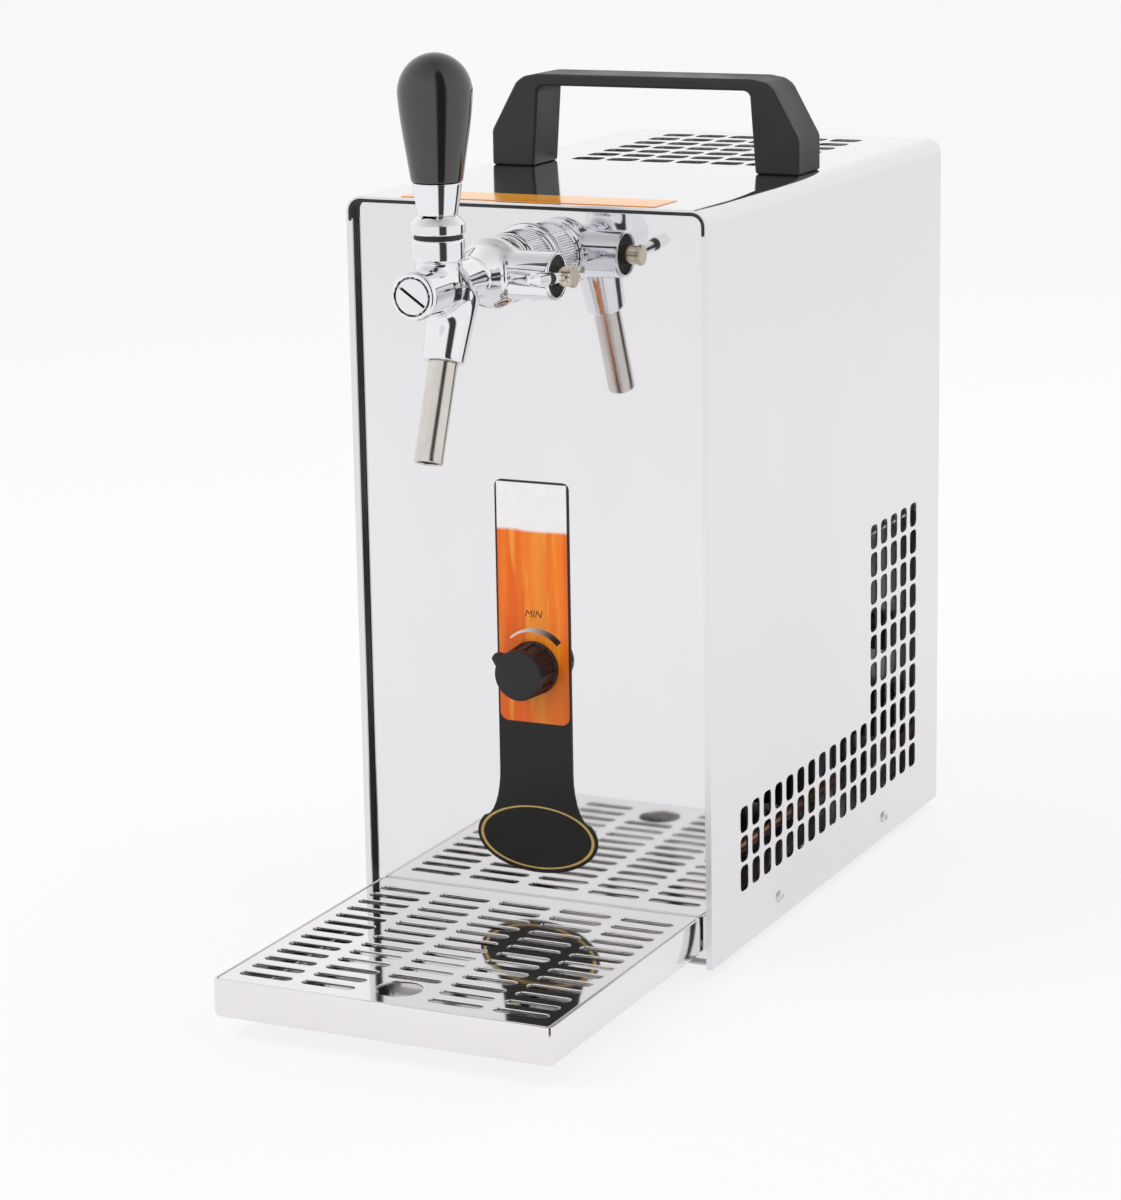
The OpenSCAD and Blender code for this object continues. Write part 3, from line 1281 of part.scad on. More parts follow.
blade_w = 22;
blade_t = 1.8;
blade_end = fan_bore / 2 - 3.5;
module fan_frame() color([0.1, 0.1, 0.1]) place() along_y(fan_x, fan_y, fan_z) {
    difference() {
        translate([-fan_w / 2, -fan_w / 2, 0]) cube([fan_w, fan_w, fan_d]);
        translate([0, 0, -cut]) cylinder(d = fan_bore, h = fan_d + 2 * cut);
    }
    for (a = [45, 165, 285]) rotate(a) translate([0, -strut_w / 2, 0])
        cube([fan_bore / 2 + sink, strut_w, strut_t]);
    cylinder(r = hub_r, h = strut_t);
    cylinder(r = motor_r, h = fan_d * motor_share);
    cylinder(r = motor_shaft_r, h = fan_d * motor_shaft_share, $fn = 32);
}
module fan_rotor() color([0.2, 0.2, 0.2]) place() along_y(fan_x, fan_y, fan_z) {
    difference() {
        translate([0, 0, strut_t + rotor_gap]) cylinder(r = hub_r, h = fan_d - strut_t - 2 * rotor_gap);
        cylinder(r = motor_r + rotor_gap, h = fan_d * motor_share + rotor_gap);
        cylinder(r = motor_shaft_r + run, h = fan_d * motor_shaft_share + rotor_gap / 2, $fn = 32);
    }
    for (i = [0 : fan_blades - 1]) rotate(360 * i / fan_blades)
        translate([hub_r - sink, 0, fan_d / 2 + rotor_gap]) rotate([blade_turn, 0, 0])
            translate([0, -blade_w / 2, -blade_t / 2]) cube([blade_end - hub_r + sink, blade_w, blade_t]);
}

// Air pump on the shelf, with its hose
pump_y = cool_y + foam_hw + pump_gap;
hose_len = fitting_in_y - pump_y - pump_d;
pump_foot_t = 3;
pump_shift = 6;
pump_rim = 4;
port_out = 8;
pump_body_d = pump_w - pump_rim;
pump_x = pump_shift - air_fitting_x;
module air_pump() color([0.2, 0.2, 0.22]) place() {
    translate([pump_x - pump_w / 2, pump_y, shelf_z]) cube([pump_w, pump_d, pump_foot_t]);
    along_y(pump_x, pump_y, shelf_z + pump_h - pump_body_d / 2 - sink)
        soft_disc(pump_body_d, pump_d - port_out, pump_rim);
    translate([pump_x - pump_w / 3, pump_y + pump_rim, shelf_z])
        cube([2 * pump_w / 3, pump_d - 2 * port_out, pump_h / 3]);
    along_y(-air_fitting_x, pump_y + pump_d - port_out - sink, air_z)
        cylinder(d = hose_d - 2 * sink, h = port_out + sink);
}
module air_hose() color("lightgray") place() along_y(-air_fitting_x, pump_y + pump_d, air_z)
    tube(hose_d, hose_bore, hose_len);

// Power inlet
inlet_flange_t = 2.4;
inlet_flange_out = 1.5;
socket_wall = 1.6;
socket_deep = 16;
contact_w = 2;
contact_h = 4;
contact_len = 9;
contact_pitch = 7;
contact_rise = 3;
inlet_face = rear_face + inlet_flange_t;
module power_inlet() color([0.1, 0.1, 0.1]) place() {
    difference() {
        union() {
            upright(rear_face - inlet_deep, inlet_deep) inlet_outline(0);
            upright(rear_face, inlet_flange_t) inlet_outline(inlet_flange_out);
        }
        upright(inlet_face - socket_deep, socket_deep + cut) inlet_outline(-socket_wall);
    }
    for (i = [-1 : 1]) translate([inlet_x + i * contact_pitch - contact_w / 2,
        inlet_face - socket_deep - sink, inlet_z - contact_h / 2 + (i == 0 ? contact_rise : -contact_rise)])
        cube([contact_w, contact_len, contact_h]);
}

// Switch: the rocker swings about an upright pin, and one half stands out at rest
frame_wall = 1.6;
frame_deep = 16;
frame_flange_t = 1.8;
frame_flange_out = 1.5;
frame_pocket = 10;
rocker_w = switch_w - 2 * frame_wall - 2 * slack;
rocker_h = switch_h - 2 * frame_wall - 2 * slack;
rocker_y = rear_face - 2 * sheet_t;
rocker_r = rocker_w / 2;
rocker_face_shares = [[0.95, 0.18], [0.84, 0.54], [0, 0.28], [-0.9, 0.25]];
rocker_pin_d = 2.4;
rocker_pin_out = 1.3;
module rocker_pin(gap) translate([inlet_x, rocker_y, switch_z - rocker_h / 2 - rocker_pin_out - gap])
    cylinder(d = rocker_pin_d + 2 * gap, h = rocker_h + 2 * (rocker_pin_out + gap), $fn = 32);
module switch_frame() color([0.1, 0.1, 0.1]) place() difference() {
    union() {
        upright(rear_face - frame_deep, frame_deep) switch_outline(0);
        upright(rear_face, frame_flange_t) switch_outline(frame_flange_out);
    }
    upright(rear_face - frame_pocket, frame_pocket + frame_flange_t + cut) switch_outline(-frame_wall);
    rocker_pin(run);
}
module switch_rocker() color([0.75, 0.1, 0.1]) place() {
    rocker_pin(0);
    translate([inlet_x, rocker_y, switch_z - rocker_h / 2]) linear_extrude(rocker_h)
        polygon(rocker_r * concat([[-cos(30), -sin(30)], [cos(30), -sin(30)]], rocker_face_shares));
}

casing();
front_panel();
panel_gasket();
rear_panel();
base_plate();
mid_shelf();
feet();
foot_screws();
carry_handle();
handle_screws();
case_screws();
top_strip();
front_label();
thermostat_knob();
thermostat_shaft();
thermostat_body();
tray_pan();
tray_grate();
tray_guides();
tap_body();
tap_plug();
tap_bonnet();
bonnet_ring();
lever_stem();
lever_ferrule();
lever_grip();
valve_piston();
piston_seal();
tap_spout();
compensator_gland();
compensator_shaft();
compensator_lever();
lever_band();
compensator_cone();
collar_nut();
shank_flange();
tap_shank();
shank_nut();
outlet_line();
inlet_line();
hose_fittings();
cooling_core();
beer_coil();
evaporator_coil();
insulation();
compressor();
compressor_grommets();
suction_pipe();
discharge_pipe();
liquid_line();
filter_drier();
condenser();
fan_frame();
fan_rotor();
air_pump();
air_hose();
power_inlet();
switch_frame();
switch_rocker();
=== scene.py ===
"""Looks of the countertop beer cooler with one compensator tap."""

import json
import math

import bmesh
import bpy
import numpy as np
from mathutils import Matrix, Vector

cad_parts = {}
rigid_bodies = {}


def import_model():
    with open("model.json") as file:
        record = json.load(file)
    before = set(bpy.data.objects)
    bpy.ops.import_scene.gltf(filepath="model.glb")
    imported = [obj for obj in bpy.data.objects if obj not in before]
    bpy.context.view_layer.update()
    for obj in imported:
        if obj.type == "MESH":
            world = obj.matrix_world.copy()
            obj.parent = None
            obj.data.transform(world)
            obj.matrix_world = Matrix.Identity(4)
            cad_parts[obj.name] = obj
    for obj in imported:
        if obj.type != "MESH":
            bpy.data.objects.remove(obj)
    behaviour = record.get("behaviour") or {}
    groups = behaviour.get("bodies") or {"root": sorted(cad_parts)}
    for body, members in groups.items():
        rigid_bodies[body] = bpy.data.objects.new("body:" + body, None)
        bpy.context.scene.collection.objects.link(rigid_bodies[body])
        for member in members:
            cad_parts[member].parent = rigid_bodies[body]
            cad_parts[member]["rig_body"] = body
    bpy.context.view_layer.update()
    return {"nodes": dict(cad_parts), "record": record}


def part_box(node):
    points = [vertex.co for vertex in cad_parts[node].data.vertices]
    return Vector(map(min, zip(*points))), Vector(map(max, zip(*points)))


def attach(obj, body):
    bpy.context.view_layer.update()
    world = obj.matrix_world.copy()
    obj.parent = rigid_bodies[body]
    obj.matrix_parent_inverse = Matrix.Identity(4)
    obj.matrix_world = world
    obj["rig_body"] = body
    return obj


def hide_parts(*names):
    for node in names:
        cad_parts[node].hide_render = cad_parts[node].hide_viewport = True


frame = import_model()
NODES = frame["nodes"]

# Places are given in millimetres from the casing's front lower edge: x right, y back, z up
MM = 0.001
CASING_LOW, CASING_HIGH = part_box("casing")


def at(x, y, z):
    return Vector((x * MM, CASING_LOW.y + y * MM, CASING_LOW.z + z * MM))


def local_box(node):
    """A node's box in millimetres from the casing's front lower edge."""
    origin = at(0, 0, 0)
    low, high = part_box(node)
    return (low - origin) / MM, (high - origin) / MM


# Camera, at the photograph's place and angle
CAMERA_AT = (686.8, -1403.3, 530.9)
CAMERA_AZIMUTH = math.radians(25.5756)
CAMERA_ELEVATION = math.radians(13.3261)
CAMERA_ROLL = math.radians(-0.98315)
CAMERA_LENS = 108.86
SENSOR_HEIGHT = 36


def make_camera():
    data = bpy.data.cameras.new("camera")
    data.sensor_fit = "VERTICAL"
    data.sensor_height = SENSOR_HEIGHT
    data.lens = CAMERA_LENS
    data.clip_end = 50
    camera = bpy.data.objects.new("camera", data)
    bpy.context.collection.objects.link(camera)
    back = Vector((math.sin(CAMERA_AZIMUTH) * math.cos(CAMERA_ELEVATION),
                   -math.cos(CAMERA_AZIMUTH) * math.cos(CAMERA_ELEVATION),
                   math.sin(CAMERA_ELEVATION)))
    right = (-back).cross(Vector((0, 0, 1))).normalized()
    up = right.cross(-back)
    turn = Matrix.Rotation(CAMERA_ROLL, 3, back)
    right, up = turn @ right, turn @ up
    camera.matrix_world = Matrix.Translation(at(*CAMERA_AT)) @ Matrix(
        (right, up, back)).transposed().to_4x4()
    bpy.context.scene.camera = camera


# Materials


class Nodes:
    """A node tree, with short calls for the nodes that are used here."""

    def __init__(self, tree):
        self.tree = tree

    def add(self, kind, **settings):
        node = self.tree.nodes.new(kind)
        for key, value in settings.items():
            setattr(node, key, value)
        return node

    def feed(self, socket, value):
        if isinstance(value, bpy.types.NodeSocket):
            self.tree.links.new(value, socket)
        elif isinstance(value, tuple) and len(value) == 3 and socket.type == "RGBA":
            socket.default_value = (*value, 1)
        else:
            socket.default_value = value

    def math(self, operation, first, second=0.0, clamp=False):
        node = self.add("ShaderNodeMath", operation=operation, use_clamp=clamp)
        self.feed(node.inputs[0], first)
        self.feed(node.inputs[1], second)
        return node.outputs[0]

    def minus(self, first, second):
        return self.math("SUBTRACT", first, second)

    def times(self, first, second):
        return self.math("MULTIPLY", first, second)

    def hypot(self, first, second):
        squares = [self.math("POWER", value, 2.0) for value in (first, second)]
        return self.math("SQRT", self.math("ADD", *squares))

    def split(self, vector):
        """The X, Y and Z of a vector."""
        node = self.add("ShaderNodeSeparateXYZ")
        self.feed(node.inputs[0], vector)
        return node.outputs[0], node.outputs[1], node.outputs[2]

    def ramp(self, value, low, high, to_low=0.0, to_high=1.0):
        """A smooth step from to_low, at low, to to_high, at high."""
        node = self.add("ShaderNodeMapRange", interpolation_type="SMOOTHSTEP")
        for socket, number in zip(node.inputs, (value, low, high, to_low, to_high)):
            self.feed(socket, number)
        return node.outputs[0]


class Shader(Nodes):
    """A material and its nodes."""

    def __init__(self, name):
        self.material = bpy.data.materials.new(name)
        self.material.use_nodes = True
        super().__init__(self.material.node_tree)
        self.bsdf = self.tree.nodes["Principled BSDF"]
        self.place = self.add("ShaderNodeTexCoord").outputs["Object"]

    def mix(self, share, first, second):
        node = self.add("ShaderNodeMix", data_type="RGBA")
        self.feed(node.inputs[0], share)
        self.feed(node.inputs[6], first)
        self.feed(node.inputs[7], second)
        return node.outputs[2]

    def noise(self, scale, stretch=(1, 1, 1), detail=3.0, rough=0.5):
        mapping = self.add("ShaderNodeMapping")
        mapping.inputs["Scale"].default_value = stretch
        self.feed(mapping.inputs["Vector"], self.place)
        node = self.add("ShaderNodeTexNoise")
        self.feed(node.inputs["Vector"], mapping.outputs[0])
        node.inputs["Scale"].default_value = scale
        node.inputs["Detail"].default_value = detail
        node.inputs["Roughness"].default_value = rough
        return node.outputs["Fac"]

    def bump(self, height, strength, distance):
        node = self.add("ShaderNodeBump")
        node.inputs["Strength"].default_value = strength
        node.inputs["Distance"].default_value = distance
        self.feed(node.inputs["Height"], height)
        self.feed(self.bsdf.inputs["Normal"], node.outputs[0])

    def set(self, **values):
        for key, value in values.items():
            self.feed(self.bsdf.inputs[key.replace("_", " ")], value)


def shade(color, factor):
    return tuple(min(1.0, part * factor) for part in color)


def plain(name, color, rough, metal=0.0, vary=0.06, scale=60.0, stretch=(1, 1, 1),
          rough_vary=0.25, bump=0.1, bump_scale=400.0, depth=0.0001, **extra):
    """A finish with a little change of colour and gloss over the surface, and a fine grain."""
    made = Shader(name)
    cloud = made.noise(scale, stretch)
    color_out = made.mix(made.ramp(cloud, 0.3, 0.7), shade(color, 1 - vary), shade(color, 1 + vary))
    smudge = made.ramp(made.noise(scale * 0.35, stretch, 4.0), 0.3, 0.7,
                       rough * (1 - rough_vary), rough * (1 + rough_vary))
    made.set(Base_Color=color_out, Roughness=smudge, Metallic=metal, **extra)
    made.bump(made.noise(bump_scale, stretch, 2.0), bump, depth)
    return made.material


def sheet_steel(name, color, rough, wave=0.12):
    """Polished sheet: a slow waviness in the mirror image, a fine grain and a few dull smudges."""
    made = Shader(name)
    wipe = made.noise(9.0, (1, 1, 0.35), 4.0, 0.6)
    grain = made.noise(900.0, (1, 1, 0.02), 2.0)
    made.set(Base_Color=made.mix(made.ramp(wipe, 0.35, 0.7), shade(color, 0.985), shade(color, 1.01)),
             Metallic=1.0,
             Roughness=made.math("ADD", made.ramp(wipe, 0.4, 0.75, rough * 0.8, rough * 1.35),
                                 made.times(grain, rough * 0.2)))
    made.bump(made.noise(5.0, (1, 1, 1), 1.0), wave, 0.0008)
    return made.material


def casing_steel():
    """The folded casing: its top is a mirror, and its sides are a little softer."""
    made = Shader("casing_sheet")
    upward = made.split(made.add("ShaderNodeNewGeometry").outputs["Normal"])[2]
    top = made.ramp(upward, 0.4, 0.95)
    wipe = made.ramp(made.noise(7.0, (1, 1, 0.4), 4.0, 0.6), 0.35, 0.7)
    grain = made.noise(700.0, (1, 0.02, 1), 2.0)
    rough = made.math("ADD", made.ramp(top, 0, 1, 0.2, 0.07), made.times(wipe, 0.035))
    made.set(Base_Color=made.mix(wipe, (0.785, 0.765, 0.79), (0.80, 0.785, 0.805)), Metallic=1.0,
             Roughness=made.math("ADD", rough, made.times(grain, 0.02)))
    made.bump(made.noise(4.0, (1, 1, 1), 1.0), 0.1, 0.0008)
    return made.material


# The label plate's print: colours, and places in millimetres
LABEL_LOW, LABEL_HIGH = local_box("front_label")
SHAFT_LOW, SHAFT_HIGH = local_box("thermostat_shaft")
KNOB_Z = (SHAFT_LOW.z + SHAFT_HIGH.z) / 2
LABEL_HALF = 18.0
RIM = 0.9
PRINT_BLUR = 0.2
BLACK = (0.010, 0.009, 0.009)
# The beer, lighter along its middle and darker at its sides and towards its foot
BEER = (1.0, 0.225, 0.012)
BEER_DARK = (0.86, 0.135, 0.008)
BEER_LIGHT = (1.0, 0.40, 0.04)
BEER_LOW_Z = 104.0
BEER_CORNER_R = 4.0
BEER_DEEP_H = 60
BEER_MIDDLE_X = 3.0
BEER_MIDDLE_REACH = (0.5, 7.0)
BEER_SIDE_REACH = (12.0, 17.5)
FOAM = (0.96, 0.94, 0.93)
FOAM_Z = 191.5
FOAM_WAVE = 2.2
FOAM_EDGE = (FOAM_Z - 0.8, FOAM_Z + 1.2)
# The gold line's oval, as half axes
GOLD = (0.56, 0.38, 0.11)
OVAL_Z = 50.5
OVAL_A = 27.6
OVAL_B = 14.3
OVAL_LINE = (0.016, 0.034)
# The thermostat's scale, an arc about the knob
SCALE_R = 17.0
SCALE_FROM = math.radians(43)
SCALE_TO = math.radians(133)
SCALE_HALF_WIDTHS = (1.5, 0.4)
SCALE_FADE = (math.radians(50), math.radians(126))
SCALE_DARK = (0.03, 0.025, 0.02)
SCALE_PALE = (0.85, 0.82, 0.78)


def beer_print(made, x, z):
    """Amber streaks with pale foam on top."""
    streak = made.ramp(made.noise(95.0, (1, 1, 0.05)), 0.42, 0.6)
    fine = made.ramp(made.noise(260.0, (1, 1, 0.12), 2.0), 0.52, 0.72)
    body = made.mix(streak, BEER_DARK, BEER)
    body = made.mix(made.times(fine, 0.75), body, BEER_LIGHT)
    off_middle = made.math("ABSOLUTE", made.minus(x, BEER_MIDDLE_X))
    body = made.mix(made.ramp(off_middle, *BEER_MIDDLE_REACH, 0.55, 0.0), body, BEER_LIGHT)
    edge = made.ramp(made.math("ABSOLUTE", x), *BEER_SIDE_REACH, 0.0, 0.4)
    body = made.mix(edge, body, BEER_DARK)
    deep = made.ramp(z, BEER_LOW_Z, BEER_LOW_Z + BEER_DEEP_H, 0.3, 0.0)
    body = made.mix(deep, body, shade(BEER_DARK, 0.8))
    wave = made.times(made.minus(made.noise(70.0), 0.5), FOAM_WAVE)
    froth = made.ramp(made.math("ADD", z, wave), *FOAM_EDGE)
    bubbles = made.ramp(made.noise(320.0), 0.35, 0.7)
    return made.mix(froth, body, made.mix(bubbles, shade(FOAM, 0.985), shade(FOAM, 1.02)))


def beyond_beer(made, x, z):
    """1 outside the beer's field, which has rounded lower corners and a rim above."""
    corner_x = LABEL_HALF - RIM - BEER_CORNER_R
    past_x = made.math("MAXIMUM", made.minus(made.math("ABSOLUTE", x), corner_x), 0.0)
    past_z = made.math("MAXIMUM", made.minus(BEER_LOW_Z + BEER_CORNER_R, z), 0.0)
    below = made.ramp(made.hypot(past_x, past_z), BEER_CORNER_R - PRINT_BLUR, BEER_CORNER_R + PRINT_BLUR)
    top = LABEL_HIGH.z - RIM
    return made.math("MAXIMUM", below, made.ramp(z, top - PRINT_BLUR, top + PRINT_BLUR))


def foot_print(made, x, z):
    """The black foot with a thin gold line round an oval."""
    gold = made.mix(made.noise(240.0), shade(GOLD, 0.75), shade(GOLD, 1.3))
    across = made.math("DIVIDE", x, OVAL_A)
    along = made.math("DIVIDE", made.minus(z, OVAL_Z), OVAL_B)
    off_line = made.math("ABSOLUTE", made.minus(made.hypot(across, along), 1.0))
    return made.mix(made.ramp(off_line, *OVAL_LINE, 1.0, 0.0), BLACK, gold)


def with_scale(made, x, z, under):
    """The thermostat's scale over a colour: an arc that turns from pale to dark and grows wider."""
    rise = made.minus(z, KNOB_Z)
    turn = made.math("ARCTAN2", rise, x)
    half_width = made.ramp(turn, SCALE_FROM, SCALE_TO, *SCALE_HALF_WIDTHS)
    off_arc = made.math("ABSOLUTE", made.minus(made.hypot(x, rise), SCALE_R))
    on_arc = made.math("LESS_THAN", off_arc, half_width)
    past_start = made.math("GREATER_THAN", turn, SCALE_FROM)
    before_end = made.math("LESS_THAN", turn, SCALE_TO)
    share = made.times(on_arc, made.times(past_start, before_end))
    return made.mix(share, under, made.mix(made.ramp(turn, *SCALE_FADE), SCALE_DARK, SCALE_PALE))


def label_print():
    """The label plate: a glass of beer with foam over a black foot with a thin gold line."""
    made = Shader("label_print")
    side, _, height = made.split(made.place)
    x = made.times(side, 1 / MM)
    z = made.times(made.minus(height, CASING_LOW.z), 1 / MM)
    color = made.mix(beyond_beer(made, x, z), beer_print(made, x, z), foot_print(made, x, z))
    made.set(Base_Color=with_scale(made, x, z, color), Roughness=0.2, Specular_IOR_Level=0.3)
    made.bump(made.noise(500.0), 0.04, 0.00005)
    return made.material


def strip_print():
    """The orange strip: a glossy film with amber streaks."""
    made = Shader("strip_print")
    streak = made.noise(40.0, (0.25, 1, 1))
    color = made.mix(made.ramp(streak, 0.35, 0.65), (0.96, 0.40, 0.015), (0.88, 0.31, 0.01))
    made.set(Base_Color=color, Roughness=0.1, Specular_IOR_Level=0.8)
    made.bump(made.noise(300.0), 0.05, 0.00005)
    return made.material


def finishes():
    """One material for each material slot of the record."""
    made = {"casing_steel": casing_steel(), "label_print": label_print(), "strip_orange": strip_print(),
            "panel_steel": sheet_steel("panel_mirror", (0.81, 0.80, 0.82), 0.035),
            "tray_steel": sheet_steel("tray_steel", (0.84, 0.82, 0.81), 0.10),
            "grate_steel": sheet_steel("grate_steel", (0.84, 0.825, 0.82), 0.06, 0.2)}

    def add(slot, *look, **more):
        made[slot] = plain(slot, *look, **more)

    add("zinc_sheet", (0.55, 0.56, 0.58), 0.42, 1.0, vary=0.14, scale=90.0)
    add("gasket_rubber", (0.018, 0.018, 0.019), 0.55, bump=0.2)
    add("foot_rubber", (0.022, 0.022, 0.022), 0.65, bump=0.35)
    add("screw_steel", (0.72, 0.72, 0.73), 0.2, 1.0, scale=300.0)
    add("handle_plastic", (0.022, 0.021, 0.024), 0.44, vary=0.1, bump=0.35, bump_scale=900.0,
        depth=0.00006, Specular_IOR_Level=0.38)
    add("knob_plastic", (0.014, 0.013, 0.018), 0.4, bump=0.3, bump_scale=1200.0, depth=0.00004,
        Specular_IOR_Level=0.36)
    add("shaft_steel", (0.66, 0.66, 0.68), 0.2, 1.0)
    add("thermostat_case", (0.62, 0.62, 0.60), 0.4, 0.8)
    add("guide_plastic", (0.10, 0.10, 0.11), 0.5)
    add("tap_chrome", (0.83, 0.84, 0.86), 0.045, 1.0, vary=0.01, scale=25.0, rough_vary=0.4, bump=0.05,
        bump_scale=70.0)
    add("grip_plastic", (0.014, 0.012, 0.014), 0.1, vary=0.08, bump=0.03, bump_scale=120.0,
        Specular_IOR_Level=0.95)
    add("valve_brass", (0.62, 0.44, 0.20), 0.28, 1.0)
    add("shaft_nickel", (0.66, 0.58, 0.47), 0.16, 1.0, scale=200.0)
    add("spout_steel", (0.67, 0.63, 0.585), 0.2, 1.0, vary=0.04, scale=260.0, stretch=(1, 1, 0.06))
    add("white_plastic", (0.80, 0.80, 0.78), 0.4)
    add("line_steel", (0.64, 0.64, 0.65), 0.25, 1.0)
    add("fitting_steel", (0.70, 0.69, 0.67), 0.24, 1.0)
    add("core_aluminium", (0.72, 0.73, 0.74), 0.38, 1.0, stretch=(1, 0.1, 1))
    add("copper_tube", (0.72, 0.36, 0.22), 0.3, 1.0, vary=0.12)
    add("foam", (0.66, 0.58, 0.42), 0.85, vary=0.12, bump=0.6, bump_scale=500.0)
    add("compressor_paint", (0.014, 0.014, 0.015), 0.3, Coat_Weight=0.3, Coat_Roughness=0.25)
    add("fan_plastic", (0.02, 0.02, 0.02), 0.42)
    add("pump_plastic", (0.035, 0.035, 0.04), 0.45)
    add("hose_plastic", (0.62, 0.62, 0.60), 0.3)
    add("inlet_plastic", (0.02, 0.02, 0.02), 0.4, bump=0.25, bump_scale=900.0)
    add("rocker_plastic", (0.35, 0.02, 0.015), 0.28)
    return made


SLOT_OF = {part["node"]: part["material_slot"] for part in frame["record"]["subparts"]}
FINISH = finishes()


def dress_nodes():
    """Every CAD node takes its slot's finish."""
    for name, node in NODES.items():
        node.data.materials.clear()
        node.data.materials.append(FINISH[SLOT_OF[name]])


# Mesh helpers


def piece(name, shape, place, node, smooth_angle=40):
    """A mesh of (verts, faces) in millimetres, in the place of a node, on its body and with its finish."""
    verts, faces = shape
    origin = at(0, 0, 0)
    mesh = bpy.data.meshes.new(name)
    mesh.from_pydata([tuple(origin + (place @ Vector(v)) * MM) for v in verts], [],
                     [tuple(int(i) for i in face) for face in faces])
    made = bmesh.new()
    made.from_mesh(mesh)
    bmesh.ops.remove_doubles(made, verts=made.verts, dist=1e-7)
    bmesh.ops.recalc_face_normals(made, faces=made.faces)
    made.to_mesh(mesh)
    made.free()
    return finish(name, mesh, node, smooth_angle)


def finish(name, mesh, node, smooth_angle=40, replaces=True, material=None):
    """An object of a mesh that rides on a node's body and takes the finish of that node's slot, unless a
    material is given.
    """
    thing = bpy.data.objects.new(name, mesh)
    bpy.context.collection.objects.link(thing)
    mesh.materials.clear()
    mesh.materials.append(material or FINISH[SLOT_OF[node]])
    mesh.shade_smooth()
    mesh.set_sharp_from_angle(angle=math.radians(smooth_angle))
    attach(thing, NODES[node]["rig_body"])
    if replaces:
        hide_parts(node)
    return thing


def bevel(thing, width, segments, angle):
    edge = thing.modifiers.new("edges", "BEVEL")
    edge.width = width * MM
    edge.segments = segments
    edge.limit_method = "ANGLE"
    edge.angle_limit = math.radians(angle)
    edge.harden_normals = True


def strips(rows, closed=True):
    """Faces between rows of vertex numbers of equal length."""
    faces = []
    for low, high in zip(rows, rows[1:]):
        for i in range(len(low) if closed else len(low) - 1):
            j = (i + 1) % len(low)
            face = tuple(dict.fromkeys((low[i], low[j], high[j], high[i])))
            if len(face) > 2:
                faces.append(face)
    return faces


def lathe(profile, steps=96, wave=None):
    """A profile of (radius, height) turned about Z, closed where the radius is 0, in millimetres."""
    verts, rows = [], []
    for radius, height in profile:
        if radius == 0:
            rows.append([len(verts)] * steps)
            verts.append((0, 0, height))
            continue
        rows.append(range(len(verts), len(verts) + steps))
        for i in range(steps):
            turn = 2 * math.pi * i / steps
            reach = radius + (wave(turn, radius, height) if wave else 0)
            verts.append((reach * math.cos(turn), reach * math.sin(turn), height))
    return verts, strips(rows)


def arc(cx, cy, r, start, end, steps=6):
    """Points on an arc, in degrees, as (x, y)."""
    return [(cx + r * math.cos(math.radians(start + (end - start) * i / steps)),
             cy + r * math.sin(math.radians(start + (end - start) * i / steps))) for i in range(steps + 1)]


def turned(x, y, z, degrees, axis):
    """A place in millimetres, and a turn about the X, Y or Z axis there."""
    return Matrix.Translation((x, y, z)) @ Matrix.Rotation(math.radians(degrees), 4, axis)


def facing_front(x, y, z):
    return turned(x, y, z, 90, "X")


def facing_back(x, y, z):
    return turned(x, y, z, -90, "X")


def joined(parts):
    """Several (verts, faces) pairs as one."""
    verts, faces = [], []
    for more_verts, more_faces in parts:
        start = len(verts)
        verts += list(more_verts)
        faces += [[i + start for i in face] for face in more_faces]
    return verts, faces


def rounded(half_x, half_y, r, steps=5):
    """A rounded rectangle about the origin, anticlockwise."""
    points = []
    for cx, cy, start in ((1, 1, 0), (-1, 1, 90), (-1, -1, 180), (1, -1, 270)):
        points += arc(cx * (half_x - r), cy * (half_y - r), r, start, start + 90, steps)
    return points


def clamped(value):
    return min(1, max(0, value))


def mirrored(points):
    """Points on the other side of x = 0, in the opposite order."""
    return [(-x, z) for x, z in reversed(points)]


def stacked(loops):
    """The points of loops of equal length, and each loop's vertex numbers."""
    count = len(loops[0])
    return [v for loop in loops for v in loop], [range(k * count, (k + 1) * count) for k in range(len(loops))]


def loft(loops):
    """Faces between loops of equal length, in order, closed at both ends."""
    verts, rows = stacked(loops)
    return verts, strips(rows) + [tuple(rows[0]), tuple(rows[-1])]


def curve_mesh(curve):
    """The mesh of a curve or a text, which is then deleted."""
    name = curve.name
    helper = bpy.data.objects.new(name + "_curve", curve)
    bpy.context.collection.objects.link(helper)
    mesh = bpy.data.meshes.new_from_object(helper.evaluated_get(bpy.context.evaluated_depsgraph_get()))
    bpy.data.objects.remove(helper)
    bpy.data.curves.remove(curve)
    mesh.name = name
    return mesh


def flat_plate(name, outline, holes, thickness, edge):
    """A flat plate's mesh with holes and softened edges, about z = 0, from points in mm."""
    curve = bpy.data.curves.new(name, "CURVE")
    curve.dimensions = "2D"
    curve.fill_mode = "BOTH"
    curve.extrude = (thickness / 2 - edge) * MM
    curve.bevel_depth = edge * MM
    curve.bevel_resolution = 1
    curve.offset = -edge * MM
    for points in [outline] + holes:
        spline = curve.splines.new("POLY")
        spline.points.add(len(points) - 1)
        for point, (x, y) in zip(spline.points, points):
            point.co = (x * MM, y * MM, 0, 1)
        spline.use_cyclic_u = True
    return curve_mesh(curve)


# Smooth casting, as a blend of simple bodies


def blend_min(a, b, k):
    h = np.clip(0.5 + 0.5 * (b - a) / k, 0, 1)
    return b + (a - b) * h - k * h * (1 - h)


def blend_max(a, b, k):
    return -blend_min(-a, -b, k)


